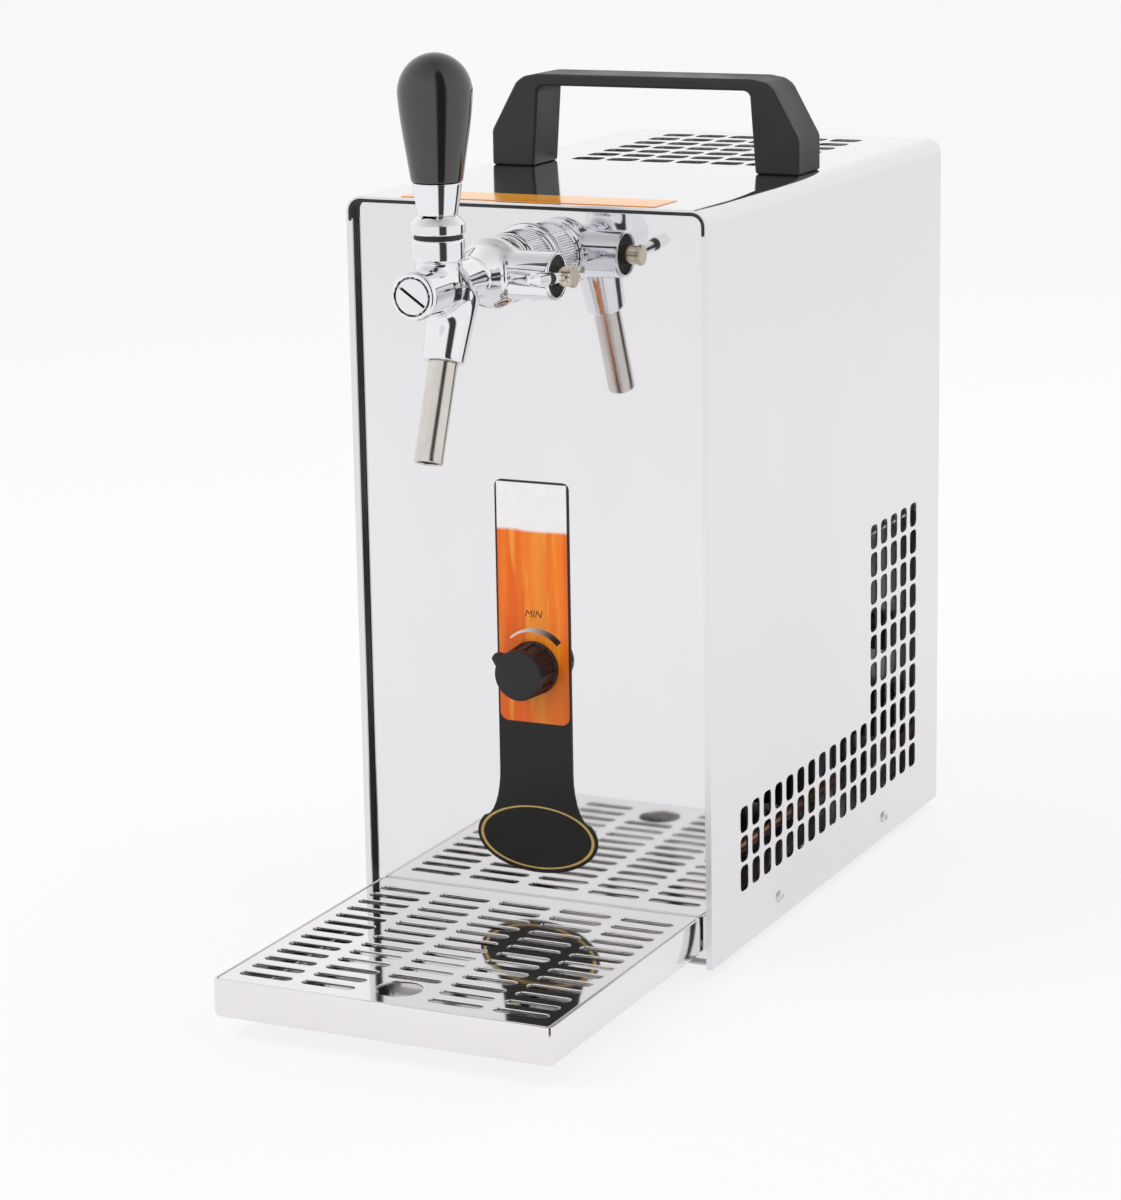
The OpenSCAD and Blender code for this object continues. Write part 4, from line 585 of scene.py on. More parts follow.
def rod(p, start, end, r0, r1=None, rim=0.6):
    """Distance to a round rod or cone with rounded rims."""
    start = np.asarray(start, np.float32)
    way = np.asarray(end, np.float32) - start
    length = float(np.linalg.norm(way))
    way = way / length
    rel = p - start
    t = rel @ way
    radial = np.linalg.norm(rel - t[..., None] * way, axis=-1)
    share = np.clip(t / length, 0, 1)
    radius = r0 + ((r0 if r1 is None else r1) - r0) * share
    return blend_max(radial - radius, np.maximum(-t, t - length), rim)


def surface_net(shape, low, high, step):
    """Vertices and quads of a distance function's zero surface, pulled onto it in three steps."""
    axes = [np.arange(low[i], high[i] + step, step, dtype=np.float32) for i in range(3)]
    grid = np.stack(np.meshgrid(*axes, indexing="ij"), -1)
    value = shape(grid)
    size = np.array(value.shape) - 1
    corners = [(i, j, k) for i in (0, 1) for j in (0, 1) for k in (0, 1)]

    def corner_value(c):
        return value[c[0]:c[0] + size[0], c[1]:c[1] + size[1], c[2]:c[2] + size[2]]

    inside = sum((corner_value(c) < 0).astype(np.int8) for c in corners)
    active = (inside > 0) & (inside < 8)
    index = np.full(active.shape, -1)
    index[active] = np.arange(active.sum())
    total = np.zeros((*size, 3), np.float32)
    hits = np.zeros(tuple(size), np.float32)
    for a in corners:
        for axis in range(3):
            if a[axis]:
                continue
            b = tuple(1 if i == axis else a[i] for i in range(3))
            va, vb = corner_value(a), corner_value(b)
            cross = (va < 0) != (vb < 0)
            t = np.where(cross, va / np.where(cross, va - vb, 1), 0)
            for i in range(3):
                total[..., i] += np.where(cross, a[i] + (t if i == axis else 0), 0)
            hits += cross
    cells = np.argwhere(active)
    verts = (cells + total[active] / hits[active][:, None]) * step + np.asarray(low, np.float32)
    for _ in range(3):
        d = shape(verts)
        slope = np.stack([shape(verts + e) - shape(verts - e) for e in np.eye(3, dtype=np.float32) * 0.05],
                         -1) / 0.1
        move = d[:, None] * slope / np.maximum((slope ** 2).sum(-1), 0.25)[:, None]
        verts = verts - np.clip(move, -step / 2, step / 2)
    faces = []
    for axis in range(3):
        u, v = (axis + 1) % 3, (axis + 2) % 3
        part = [slice(None)] * 3
        part[axis] = slice(0, -1)
        ahead = list(part)
        ahead[axis] = slice(1, None)
        first, second = value[tuple(part)] < 0, value[tuple(ahead)] < 0
        for flip, pick in ((False, first & ~second), (True, ~first & second)):
            at_edge = np.argwhere(pick)
            at_edge = at_edge[(at_edge[:, u] > 0) & (at_edge[:, v] > 0) &
                              (at_edge[:, u] < size[u]) & (at_edge[:, v] < size[v])]
            ring = []
            for du, dv in ((-1, -1), (0, -1), (0, 0), (-1, 0)):
                cell = at_edge.copy()
                cell[:, u] += du
                cell[:, v] += dv
                ring.append(index[cell[:, 0], cell[:, 1], cell[:, 2]])
            quads = np.stack(ring if not flip else ring[::-1], -1)
            faces.append(quads[(quads >= 0).all(-1)])
    return verts, np.concatenate(faces)


# Places along the tap, in millimetres
PLUG_LOW, PLUG_HIGH = local_box("tap_plug")
STEM_LOW, STEM_HIGH = local_box("lever_stem")
GLAND_LOW, GLAND_HIGH = local_box("compensator_gland")
NUT_LOW, NUT_HIGH = local_box("collar_nut")
BODY_LOW, BODY_HIGH = local_box("tap_body")
TAP_Z = (PLUG_LOW.z + PLUG_HIGH.z) / 2
LEVER_Y = (STEM_LOW.y + STEM_HIGH.y) / 2
HOUSING_Y = (GLAND_LOW.y + GLAND_HIGH.y) / 2 - LEVER_Y
HOUSING_END = BODY_HIGH.x
COLLAR_TOP = local_box("bonnet_ring")[0].z - TAP_Z
HUB_FRONT = BODY_LOW.y - LEVER_Y
BULB_END = NUT_LOW.y - LEVER_Y
SPOUT_TILT = math.radians(21.7)
SPOUT_MOUTH = (0, 1.9, -31.3)
# The casting's bodies: radii, where two the first and the last one, and where they end
HUB_R = 10.3
HUB_BACK = 9
BARREL_R = 9.7
BARREL_LOW, BARREL_HIGH = -4, 13
NECK_R = (8.6, 9.2)
NECK_END = BULB_END - 12
CONE_R = (8.4, 14.2)
CONE_START, CONE_END = BULB_END - 27, BULB_END - 9
BULB_R = 14.5
BULB_LEN = 10.5
HOUSING_R = 10.5
SOCKET_R = (8.85, 11.0)
SOCKET_LEN = 28.44
COLLAR_R = 11.05
COLLAR_H = 9.2
# Its bores
CUT_RIM = 0.2
CUT_BLEND = 0.5
OVERRUN = 2
PLUG_SEAT_R = 8.1
PLUG_SEAT_DEEP = 4
VALVE_BORE_R = 6.0
VALVE_BORE_END = 13
TAIL_BORE_R = 6.5
TAIL_BORE_START = 15.5
STEM_BORE_R = 7.05
GLAND_SEAT_R = 9.0
GLAND_SEAT_DEEP = 4.4
SHAFT_BORE_R = 4.35
SPOUT_SEAT_R = 6.25
SPOUT_SEAT_DEEP = 9
SPOUT_BORE_R = 4.7
SPOUT_BORE_DEEP = 16
# The net's step, and its room about the casting
NET_STEP = 0.62
NET_ROOM = 1.5
NET_LOW_X = -16
NET_LOW_Z = -35


def spout_way():
    """The spout's mouth in its socket, and the way up along the spout's axis."""
    way = np.array((0, math.sin(SPOUT_TILT), math.cos(SPOUT_TILT)), np.float32)
    return np.array(SPOUT_MOUTH, np.float32), way


def casting_bodies(p):
    """The casting without its bores, blended where its bodies meet."""
    mouth, way = spout_way()
    hub = rod(p, (0, HUB_FRONT, 0), (0, HUB_BACK, 0), HUB_R, rim=2.6)
    barrel = rod(p, (0, 0, BARREL_LOW), (0, 0, BARREL_HIGH), BARREL_R, rim=1.0)
    neck = rod(p, (0, 0, 0), (0, NECK_END, 0), *NECK_R, rim=1.0)
    cone = rod(p, (0, CONE_START, 0), (0, CONE_END, 0), *CONE_R, rim=1.0)
    bulb = rod(p, (0, BULB_END - BULB_LEN, 0), (0, BULB_END, 0), BULB_R, rim=2.0)
    housing = rod(p, (0, HOUSING_Y, 0), (HOUSING_END, HOUSING_Y, 0), HOUSING_R, rim=0.9)
    socket = rod(p, mouth, mouth + way * SOCKET_LEN, *SOCKET_R, rim=0.8)
    collar = rod(p, (0, 0, COLLAR_TOP - COLLAR_H), (0, 0, COLLAR_TOP), COLLAR_R, rim=1.3)
    d = blend_min(hub, barrel, 2.5)
    d = blend_min(d, neck, 3.0)
    d = blend_min(d, socket, 5.5)
    d = blend_min(d, blend_min(cone, bulb, 5.0), 4.0)
    d = blend_min(d, housing, 2.2)
    return blend_min(d, collar, 0.7)


def casting(p):
    """The tap's body about its lever's axis: x right, y back, z up, in millimetres."""
    mouth, way = spout_way()
    front = HUB_FRONT - OVERRUN
    end = HOUSING_END + OVERRUN
    d = casting_bodies(p)
    for first, last, radius in (
            ((0, front, 0), (0, HUB_FRONT + PLUG_SEAT_DEEP, 0), PLUG_SEAT_R),
            ((0, front, 0), (0, VALVE_BORE_END, 0), VALVE_BORE_R),
            ((0, TAIL_BORE_START, 0), (0, BULB_END + OVERRUN, 0), TAIL_BORE_R),
            ((0, 0, 0), (0, 0, COLLAR_TOP + OVERRUN), STEM_BORE_R),
            ((HOUSING_END - GLAND_SEAT_DEEP, HOUSING_Y, 0), (end, HOUSING_Y, 0), GLAND_SEAT_R),
            ((0, HOUSING_Y, 0), (end, HOUSING_Y, 0), SHAFT_BORE_R),
            (mouth - way * OVERRUN, mouth + way * SPOUT_SEAT_DEEP, SPOUT_SEAT_R),
            (mouth, mouth + way * SPOUT_BORE_DEEP, SPOUT_BORE_R)):
        d = blend_max(d, -rod(p, first, last, radius, rim=CUT_RIM), CUT_BLEND)
    return d


def tap_casting():
    step = NET_STEP
    low = (NET_LOW_X, HUB_FRONT - NET_ROOM, NET_LOW_Z)
    high = (HOUSING_END + NET_ROOM, BULB_END + NET_ROOM, COLLAR_TOP + NET_ROOM)
    shape = surface_net(casting, low, high, step)
    piece("tap_casting", shape, Matrix.Translation((0, LEVER_Y, TAP_Z)), "tap_body", smooth_angle=60)


# The plug in the hub, with its slot, and painted shade deep in the slot
PLUG_R = 7.45
PLUG_BACK_R = 5.9
PLUG_HEAD = 3.8
PLUG_TURN = -35
SLOT_W = 1.1
SLOT_DEEP = 1.3
# How far back in the slot the painted shade starts
SLOT_SHADE_DEEP = 0.39
# The head's soft edge: how far in from the rim, and how far back there
PLUG_EDGE = ((0.45, 0.0), (0.2, 0.06), (0.06, 0.2), (0.0, 0.45))
PLUG_GRID = 0.16
PLUG_ROW = 60


def plug_face():
    """The head's face as a grid of columns across the disc, set back in the slot."""
    half = SLOT_W / 2
    columns = sorted({round(v, 3) for v in np.arange(-PLUG_R, PLUG_R + PLUG_GRID, PLUG_GRID)} |
                     {-half - 0.1, -half, half, half + 0.1})
    reaches = [PLUG_R - inset for inset, _ in PLUG_EDGE]
    drops = [drop for _, drop in PLUG_EDGE]
    verts, rows = [], []
    for x in columns:
        chord = math.sqrt(max(0.0, PLUG_R ** 2 - x ** 2))
        rows.append(range(len(verts), len(verts) + PLUG_ROW + 1))
        for share in np.linspace(-1, 1, PLUG_ROW + 1):
            y = chord * math.sin(share * math.pi / 2)
            drop = float(np.interp(math.hypot(x, y), reaches, drops))
            deep = SLOT_DEEP if abs(x) <= half + 0.01 else 0.0
            verts.append((x, y, -max(drop, deep)))
    return verts, strips(rows, closed=False)


def plug_disc():
    thick = PLUG_HIGH.y - PLUG_LOW.y
    side = lathe([(PLUG_R, -0.4), (PLUG_R, -PLUG_HEAD), (PLUG_BACK_R, -PLUG_HEAD), (PLUG_BACK_R, -thick),
                  (0, -thick)])
    place = facing_front(0, PLUG_LOW.y, TAP_Z) @ Matrix.Rotation(math.radians(90 + PLUG_TURN), 4, "Z")
    thing = piece("plug_disc", joined([plug_face(), side]), place, "tap_plug", smooth_angle=50)
    # Painted shade: the slot's deeper faces are made near-black
    paint_shade_deeper(thing, PLUG_LOW.y + SLOT_SHADE_DEEP, (PLUG_R - 1) * MM)


def paint_shade_deeper(thing, depth, reach):
    """Faces further back than depth, within reach of the plug's axis, take a near-black material: painted
    shade down in the slot, not a finish of the metal.
    """
    thing.data.materials.append(plain("slot_shadow", (0.03, 0.03, 0.03), 0.5, 0.5))
    start = at(0, depth, TAP_Z)
    for face in thing.data.polygons:
        if face.center.y > start.y and math.hypot(face.center.x, face.center.z - start.z) < reach:
            face.material_index = 1


# The lever's grip and ferrule
FERRULE_LOW, FERRULE_HIGH = local_box("lever_ferrule")
GRIP_LOW, GRIP_HIGH = local_box("lever_grip")
GRIP_R = (GRIP_HIGH.x - GRIP_LOW.x) / 2
FERRULE_R = (FERRULE_HIGH.x - FERRULE_LOW.x) / 2
FERRULE_LOW_R = 8.3
FERRULE_BORE_R = 3.2
FERRULE_EDGE = 0.45
GRIP_WIDE_SHARE = 0.69
GRIP_SWELL = 0.57
GRIP_GAP = 0.3
GRIP_EDGE = 0.5


def pear_grip():
    """A grip that swells from the ferrule to its widest ring, under a half-round cap."""
    length = GRIP_HIGH.z - GRIP_LOW.z
    low_r = FERRULE_R + 0.2
    wide = length * GRIP_WIDE_SHARE
    side = []
    for t in np.linspace(1 / 24, 1, 24):
        side.append((low_r + (GRIP_R - low_r) * (t + GRIP_SWELL * t * t * (1 - t)), wide * t))
    cap = [(GRIP_R * math.cos(math.radians(a)), wide + (length - wide) * math.sin(math.radians(a)))
           for a in np.linspace(4, 90, 26)]
    cap[-1] = (0, length)
    foot = [(0, GRIP_GAP), (low_r - 0.7, GRIP_GAP)]
    foot += arc(low_r - GRIP_EDGE, GRIP_GAP + GRIP_EDGE, GRIP_EDGE, -90, 0, 4)
    place = Matrix.Translation((0, LEVER_Y, GRIP_LOW.z))
    piece("pear_grip", lathe(foot + side + cap, 112), place, "lever_grip", smooth_angle=50)


def ferrule_sleeve():
    """A sleeve that widens upwards, with soft ends."""
    length = FERRULE_HIGH.z - FERRULE_LOW.z
    widening = FERRULE_R - FERRULE_LOW_R
    profile = [(FERRULE_BORE_R, 1.2), (FERRULE_LOW_R - 1.2, 0.15)]
    profile += arc(FERRULE_LOW_R - 0.5, 0.6, 0.55, -90, -5, 4)
    profile += [(FERRULE_LOW_R + widening * t, length * t) for t in (0.15, 0.4, 0.7, 0.9)]
    profile += arc(FERRULE_R - FERRULE_EDGE, length - FERRULE_EDGE, FERRULE_EDGE, 0, 90, 4)
    profile.append((FERRULE_BORE_R, length))
    place = Matrix.Translation((0, LEVER_Y, FERRULE_LOW.z))
    piece("ferrule_sleeve", lathe(profile + [profile[0]]), place, "lever_ferrule")


# Collar nut with its knurled band
KNURLS = 84
KNURL_DEPTH = 0.32
KNURL_START = 7.0
KNURL_END_GAP = 3.0
KNURL_RUN_OUT = 0.8
NUT_BORE_R = 11.1
NUT_BORE_DEEP = 10.2
NUT_BACK_R = 8.1
NUT_FRONT_EDGE = 1.4
NUT_BACK_EDGE = 1.0
NUT_GROOVE = 0.5


def collar_knurl():
    r = (NUT_HIGH.x - NUT_LOW.x) / 2
    length = NUT_HIGH.y - NUT_LOW.y
    low, high = KNURL_START, length - KNURL_END_GAP

    def ridge(turn, radius, height):
        if radius < r - 0.1 or not low < height < high:
            return 0
        rise = min(1, (height - low) / KNURL_RUN_OUT, (high - height) / KNURL_RUN_OUT)
        return -KNURL_DEPTH * rise * abs(math.sin(turn * KNURLS / 2))

    profile = [(NUT_BORE_R, NUT_BORE_DEEP), (NUT_BORE_R, 0)]
    profile += arc(r - NUT_FRONT_EDGE, NUT_FRONT_EDGE, NUT_FRONT_EDGE, -90, 0, 5)
    profile += [(r, 3.6), (r - NUT_GROOVE, 4.0), (r - NUT_GROOVE, 4.8), (r, 5.2)]
    profile += [(r, z) for z in np.linspace(low - 0.6, high + 0.6, 20)]
    profile += arc(r - NUT_BACK_EDGE, length - NUT_BACK_EDGE, NUT_BACK_EDGE, 0, 90, 4)
    profile += [(NUT_BACK_R, length), (NUT_BACK_R, NUT_BORE_DEEP), (NUT_BORE_R, NUT_BORE_DEEP)]
    shape = lathe(profile, KNURLS * 6, ridge)
    piece("collar_knurl", shape, facing_back(0, NUT_LOW.y, TAP_Z), "collar_nut")


# Carrying handle: an arch of square section with soft edges
HANDLE_LOW, HANDLE_HIGH = local_box("carry_handle")
HANDLE_LEG = 21.5
HANDLE_EDGE = 1.6
# The arch's corners: how far in from the side, and how far below the top
HANDLE_SHOULDER = ((12.7, 4), (16.6, 1.2), (23.7, 0))
HANDLE_HOLLOW = ((24.1, 7.4), (26.1, 5.4))
HANDLE_UPRIGHT = 16.3


def handle_moulding():
    half = (HANDLE_HIGH.x - HANDLE_LOW.x) / 2
    height = HANDLE_HIGH.z - HANDLE_LOW.z
    depth = HANDLE_HIGH.y - HANDLE_LOW.y
    right = [(half - HANDLE_LEG, 0), (half, 0), (half, HANDLE_UPRIGHT)]
    right += [(half - inset, height - drop) for inset, drop in HANDLE_SHOULDER]
    inner = [(half - inset, height - drop) for inset, drop in HANDLE_HOLLOW]
    outline = right + mirrored(right) + mirrored(inner[::-1]) + inner[::-1]
    loops = [[(x, y, z) for x, z in outline] for y in (-depth / 2, depth / 2)]
    place = Matrix.Translation((0, (HANDLE_LOW.y + HANDLE_HIGH.y) / 2, HANDLE_LOW.z))
    thing = piece("handle_moulding", loft(loops), place, "carry_handle")
    bevel(thing, HANDLE_EDGE, 4, 20)


# Drip tray: a pressed pan with rounded corners, ledges for the grate and two tongues
PAN_LOW, PAN_HIGH = local_box("tray_pan")
GRATE_LOW, GRATE_HIGH = local_box("tray_grate")
PAN_BACK = local_box("shank_flange")[1].y - 0.3
WALL = 1.2
LEDGE = 3.0
TONGUE_X = 45
TONGUE_W = 24


def pan_section(height):
    """The pan from its underside over its rim to its floor: inset, height and corner radius."""
    outside = [(1.6, 0.0, 2.0), (0.8, 0.25, 2.4), (0.25, 0.8, 2.8), (0, 1.7, 3.0)]
    rim = [(0, height - 0.35, 3.0), (0.12, height - 0.08, 2.9), (0.4, height, 2.7),
           (WALL - 0.25, height, 2.0), (WALL, height - 0.3, 1.9), (WALL, height - 2.4, 1.9)]
    return outside + rim + [(WALL, 2.6, 1.9), (WALL + 0.5, 1.7, 1.6), (WALL + 1.4, 1.3, 1.2)]


def tray_shell():
    half_x = (PAN_HIGH.x - PAN_LOW.x) / 2
    half_y = (PAN_BACK - PAN_LOW.y) / 2
    centre_y = (PAN_LOW.y + PAN_BACK) / 2
    height = PAN_HIGH.z - PAN_LOW.z
    loops = [[(x, y, z) for x, y in rounded(half_x - inset, half_y - inset, r)]
             for inset, z, r in pan_section(height)]
    parts = [loft(loops)]
    tongue_start = half_y - WALL / 2
    tongue_end = PAN_HIGH.y - centre_y
    middle, reach = (tongue_start + tongue_end) / 2, (tongue_end - tongue_start) / 2
    for side in (-1, 1):
        x = side * (half_x - WALL - LEDGE / 2)
        parts.append(loft([[(x + dx, dy, z) for dx, dy in rounded(LEDGE / 2, half_y - WALL, 0.4, 2)]
                           for z in (height - 2 * WALL, height - WALL)]))
        parts.append(loft([[(side * TONGUE_X + dx, middle + dy, z)
                            for dx, dy in rounded(TONGUE_W / 2, reach, 0.9, 3)] for z in (0, WALL)]))
    place = Matrix.Translation((0, centre_y, PAN_LOW.z))
    piece("tray_shell", joined(parts), place, "tray_pan", smooth_angle=50)


# The grate's slots, in five columns, and its finger hole in the place of the middle one's first two.
# The room at both ends together and the places of the hole and the first slots are in pitches
GRATE_ROWS = 13
GRATE_END_ROWS = 1.31
SIDE_COLS = 2
GRATE_PITCH_X = 30.1
GRATE_SLOT_L = 25
GRATE_SLOT_R = 2.7
FINGER_R = 10
FINGER_ROW = 1.72
FIRST_ROW = 1.03


def grate_plate():
    length = GRATE_HIGH.y - GRATE_LOW.y
    pitch = length / (GRATE_ROWS + GRATE_END_ROWS)
    centre_y = (GRATE_LOW.y + GRATE_HIGH.y) / 2
    half_x = (GRATE_HIGH.x - GRATE_LOW.x) / 2
    outline = [(x, centre_y + y) for x, y in rounded(half_x, length / 2, 1.5, 4)]
    end = GRATE_SLOT_L / 2 - GRATE_SLOT_R
    holes = [arc(0, GRATE_LOW.y + FINGER_ROW * pitch, FINGER_R, 0, 350, 35)]
    for col in range(-SIDE_COLS, SIDE_COLS + 1):
        for row in range(GRATE_ROWS):
            if col == 0 and row < 2:
                continue
            x = col * GRATE_PITCH_X
            y = GRATE_LOW.y + (row + FIRST_ROW) * pitch
            holes.append(arc(x + end, y, GRATE_SLOT_R, -90, 90, 8) +
                         arc(x - end, y, GRATE_SLOT_R, 90, 270, 8))
    mesh = flat_plate("grate_plate", outline, holes, GRATE_HIGH.z - GRATE_LOW.z, 0.3)
    mesh.transform(Matrix.Translation(at(0, 0, (GRATE_LOW.z + GRATE_HIGH.z) / 2)))
    finish("grate_plate", mesh, "tray_grate")


# Front panel with its black gasket, which shows as a thin line round the top and its corners
PANEL_FRONT = local_box("front_panel")[0].y
GASKET_LOW, GASKET_HIGH = local_box("panel_gasket")
PANEL_T = 1.2
GASKET_W = 1.5
GASKET_R = 6.0
PANEL_BOTTOM = 9.0
# Centre height and radius of the holes for the tap's shank and the thermostat's shaft
PANEL_HOLES = ((TAP_Z, 8.2), (KNOB_Z, 5.1))
# The panel's lower corners reach down beside the tray, out from TAB_X
TAB_X = 64
TAB_BOTTOM = 1.6
# The gasket's lip stands out in front of the panel, from LIP_LOW up
LIP_FRONT = -0.15
LIP_LOW = 326
GASKET_GAP = 0.05


def arch_line(half, low, top, r):
    """An arch with square feet, anticlockwise from its lower right."""
    return [(half, low)] + arc(half - r, top - r, r, 0, 90, 8) + arc(r - half, top - r, r, 90, 180, 8) + [
        (-half, low)]


def panel_sheet():
    half = GASKET_HIGH.x - GASKET_W
    top = GASKET_HIGH.z - GASKET_W
    outline = arch_line(half, TAB_BOTTOM, top, GASKET_R - GASKET_W)
    outline += [(-TAB_X, TAB_BOTTOM), (-TAB_X, PANEL_BOTTOM), (TAB_X, PANEL_BOTTOM), (TAB_X, TAB_BOTTOM)]
    holes = [[(x, z + y) for x, y in arc(0, 0, r, 0, 354, 59)] for z, r in PANEL_HOLES]
    mesh = flat_plate("panel_sheet", outline, holes, PANEL_T, 0.15)
    middle = at(0, PANEL_FRONT + PANEL_T / 2, 0)
    mesh.transform(Matrix.Translation(middle) @ Matrix.Rotation(math.pi / 2, 4, "X"))
    finish("panel_sheet", mesh, "front_panel")


def band(outer, inner, front, back):
    """An arch-shaped band between two outlines of equal length, from front to back."""
    loops = [[(x, y, z) for x, z in line] for line, y in
             ((outer, back), (outer, front), (inner, front), (inner, back))]
    verts, rows = stacked(loops)
    ends = [tuple(row[i] for row in rows) for i in (0, -1)]
    return verts, strips(rows + rows[:1], closed=False) + ends


def gasket_lip():
    half, top = GASKET_HIGH.x - GASKET_GAP, GASKET_HIGH.z - GASKET_GAP
    parts = []
    for low, front, back in ((GASKET_LOW.z, PANEL_T, GASKET_HIGH.y), (LIP_LOW, LIP_FRONT, PANEL_T)):
        outer = arch_line(half, low, top, GASKET_R)
        inner = arch_line(half - GASKET_W, low, top - GASKET_W, GASKET_R - GASKET_W)
        parts.append(band(outer, inner, front, back))
    thing = piece("gasket_lip", joined(parts), Matrix.Identity(4), "panel_gasket", smooth_angle=50)
    bevel(thing, 0.12, 2, 50)


# Thermostat knob, fluted, with its pointer
KNOB_BACK = local_box("thermostat_knob")[1].y
KNOB_FRONT = local_box("thermostat_knob")[0].y
KNOB_TURN = math.radians(147)
KNOB_R_BACK = 12.3
KNOB_R_FRONT = 11.4
KNOB_CAP = 2.2
KNOB_SKIRT = 1.4
KNOB_BORE = (7.5, 6.5)
FLUTES = 12
FLUTE_DEEP = 1.0
# The pointer in plan, and its sections: height below the cap's face and share of its full size
POINTER_FOOT = 8.0
POINTER = ((8.0, -3.2), (11.4, -3.0), (14.6, -1.3), (14.6, 1.3), (11.4, 3.0), (8.0, 3.2))
POINTER_SECTIONS = ((6.2, 0.5), (5.2, 0.95), (4.6, 1), (0.6, 1), (0.25, 0.93))


def knob_body(length):
    """A round cap over a body with flat flutes."""

    def flute(turn, radius, height):
        if radius < KNOB_R_FRONT - 1.4:
            return 0
        wave = 0.5 - 0.5 * math.cos((turn - KNOB_TURN) * FLUTES)
        rise = min(clamped((height - KNOB_SKIRT) / 0.5), clamped((length - KNOB_CAP - height) / 0.3))
        return -FLUTE_DEEP * rise * clamped((wave - 0.12) / 0.22)

    neck = length - KNOB_CAP
    profile = [KNOB_BORE, (KNOB_BORE[0], 0), (KNOB_R_BACK - 0.5, 0)]
    profile += arc(KNOB_R_BACK - 0.5, 0.5, 0.5, -90, 0, 3)
    heights = [KNOB_SKIRT, KNOB_SKIRT + 0.25, KNOB_SKIRT + 0.5] + list(np.linspace(3.0, neck - 0.5, 8))
    heights += [neck - 0.25, neck, neck + 0.3]
    profile += [(KNOB_R_BACK + (KNOB_R_FRONT - KNOB_R_BACK) * z / length, z) for z in heights]
    profile += arc(KNOB_R_FRONT - 0.7, length - 0.7, 0.7, 0, 90, 5)
    profile += [(5.0, length - 0.05), (0, length - 0.05)]
    return lathe(profile, FLUTES * 20, flute)


def knob_moulding():
    """The fluted body, with a pointer at the cap's rim."""
    length = KNOB_BACK - KNOB_FRONT
    turn = Matrix.Rotation(KNOB_TURN, 3, "Z")
    nib = [[tuple(turn @ Vector((POINTER_FOOT + (x - POINTER_FOOT) * grow, y * grow, length - drop)))
            for x, y in POINTER] for drop, grow in POINTER_SECTIONS]
    shape = joined([knob_body(length), loft(nib)])
    piece("knob_moulding", shape, facing_front(0, KNOB_BACK, KNOB_Z), "thermostat_knob", smooth_angle=35)


# The word above the knob's scale
WORD_RISE = 24.3
WORD_SIZE = 4.7
WORD_SHEAR = 0.22
WORD_THICK = 0.05
WORD_SINK = 0.01


def scale_word():
    """The word MIN as thin dark letters on the label."""
    text = bpy.data.curves.new("scale_word", "FONT")
    text.body = "MIN"
    text.size = WORD_SIZE * MM
    text.shear = WORD_SHEAR
    text.extrude = WORD_THICK / 2 * MM
    text.align_x = "CENTER"
    text.align_y = "CENTER"
    mesh = curve_mesh(text)
    spot = at(0, LABEL_LOW.y - WORD_THICK / 2 + WORD_SINK, KNOB_Z + WORD_RISE)
    mesh.transform(Matrix.Translation(spot) @ Matrix.Rotation(math.radians(90), 4, "X"))
    ink = plain("scale_ink", (0.05, 0.02, 0.01), 0.4)
    finish("scale_word", mesh, "front_label", replaces=False, material=ink)


# Casing screws: pan heads with a cross recess
SCREW_YS = (80, 217)
SCREW_Z = 10.4
REAR_SCREW_X = 81.5
REAR_SCREW_ZS = (30, 168.5, 307)
SCREW_R = 1.5
SCREW_LEN = 5
HEAD_R = 3.0
HEAD_H = 1.5
HEAD_RIM = 0.35
HEAD_RINGS = 16
HEAD_STEPS = 48
CROSS_HALF_W = 0.42
CROSS_REACH = 1.75
CROSS_DEEP = 0.75


def screw_head():
    """A domed head on the Z axis with a cross recess, as one grid over the disc."""
    verts, faces = lathe([(SCREW_R, -SCREW_LEN), (SCREW_R, 0), (HEAD_R, 0), (HEAD_R, HEAD_RIM)], HEAD_STEPS)
    rows = []
    for i in range(HEAD_RINGS + 1):
        radius = HEAD_R * (1 - i / HEAD_RINGS)
        dome = HEAD_RIM + (HEAD_H - HEAD_RIM) * math.sqrt(max(0, 1 - (radius / HEAD_R) ** 2.6))
        rows.append(range(len(verts), len(verts) + HEAD_STEPS))
        for j in range(HEAD_STEPS):
            turn = 2 * math.pi * j / HEAD_STEPS
            x, y = radius * math.cos(turn), radius * math.sin(turn)
            arm = clamped((CROSS_HALF_W - min(abs(x), abs(y))) / 0.16)
            verts.append((x, y, dome - CROSS_DEEP * arm * clamped((CROSS_REACH - radius) / 0.3)))
    return verts, faces + strips(rows)


def case_screw_heads():
    half = CASING_HIGH.x / MM
    depth = (CASING_HIGH.y - CASING_LOW.y) / MM
    places = [turned(side * half, y, SCREW_Z, side * 90, "Y") for side in (1, -1) for y in SCREW_YS]
    places += [facing_back(side * REAR_SCREW_X, depth, z) for side in (-1, 1) for z in REAR_SCREW_ZS]
    parts = []
    for number, place in enumerate(places):
        verts, faces = screw_head()
        spin = Matrix.Rotation(0.5 * number + 0.3, 4, "Z")
        parts.append(([tuple(place @ spin @ Vector(v)) for v in verts], faces))
    piece("case_screw_heads", joined(parts), Matrix.Identity(4), "case_screws", smooth_angle=35)


# Spout with a rolled lip
SPOUT_LEN = 43
SPOUT_R = 6.15
SPOUT_IN = 8.8
SPOUT_LIP = 0.55


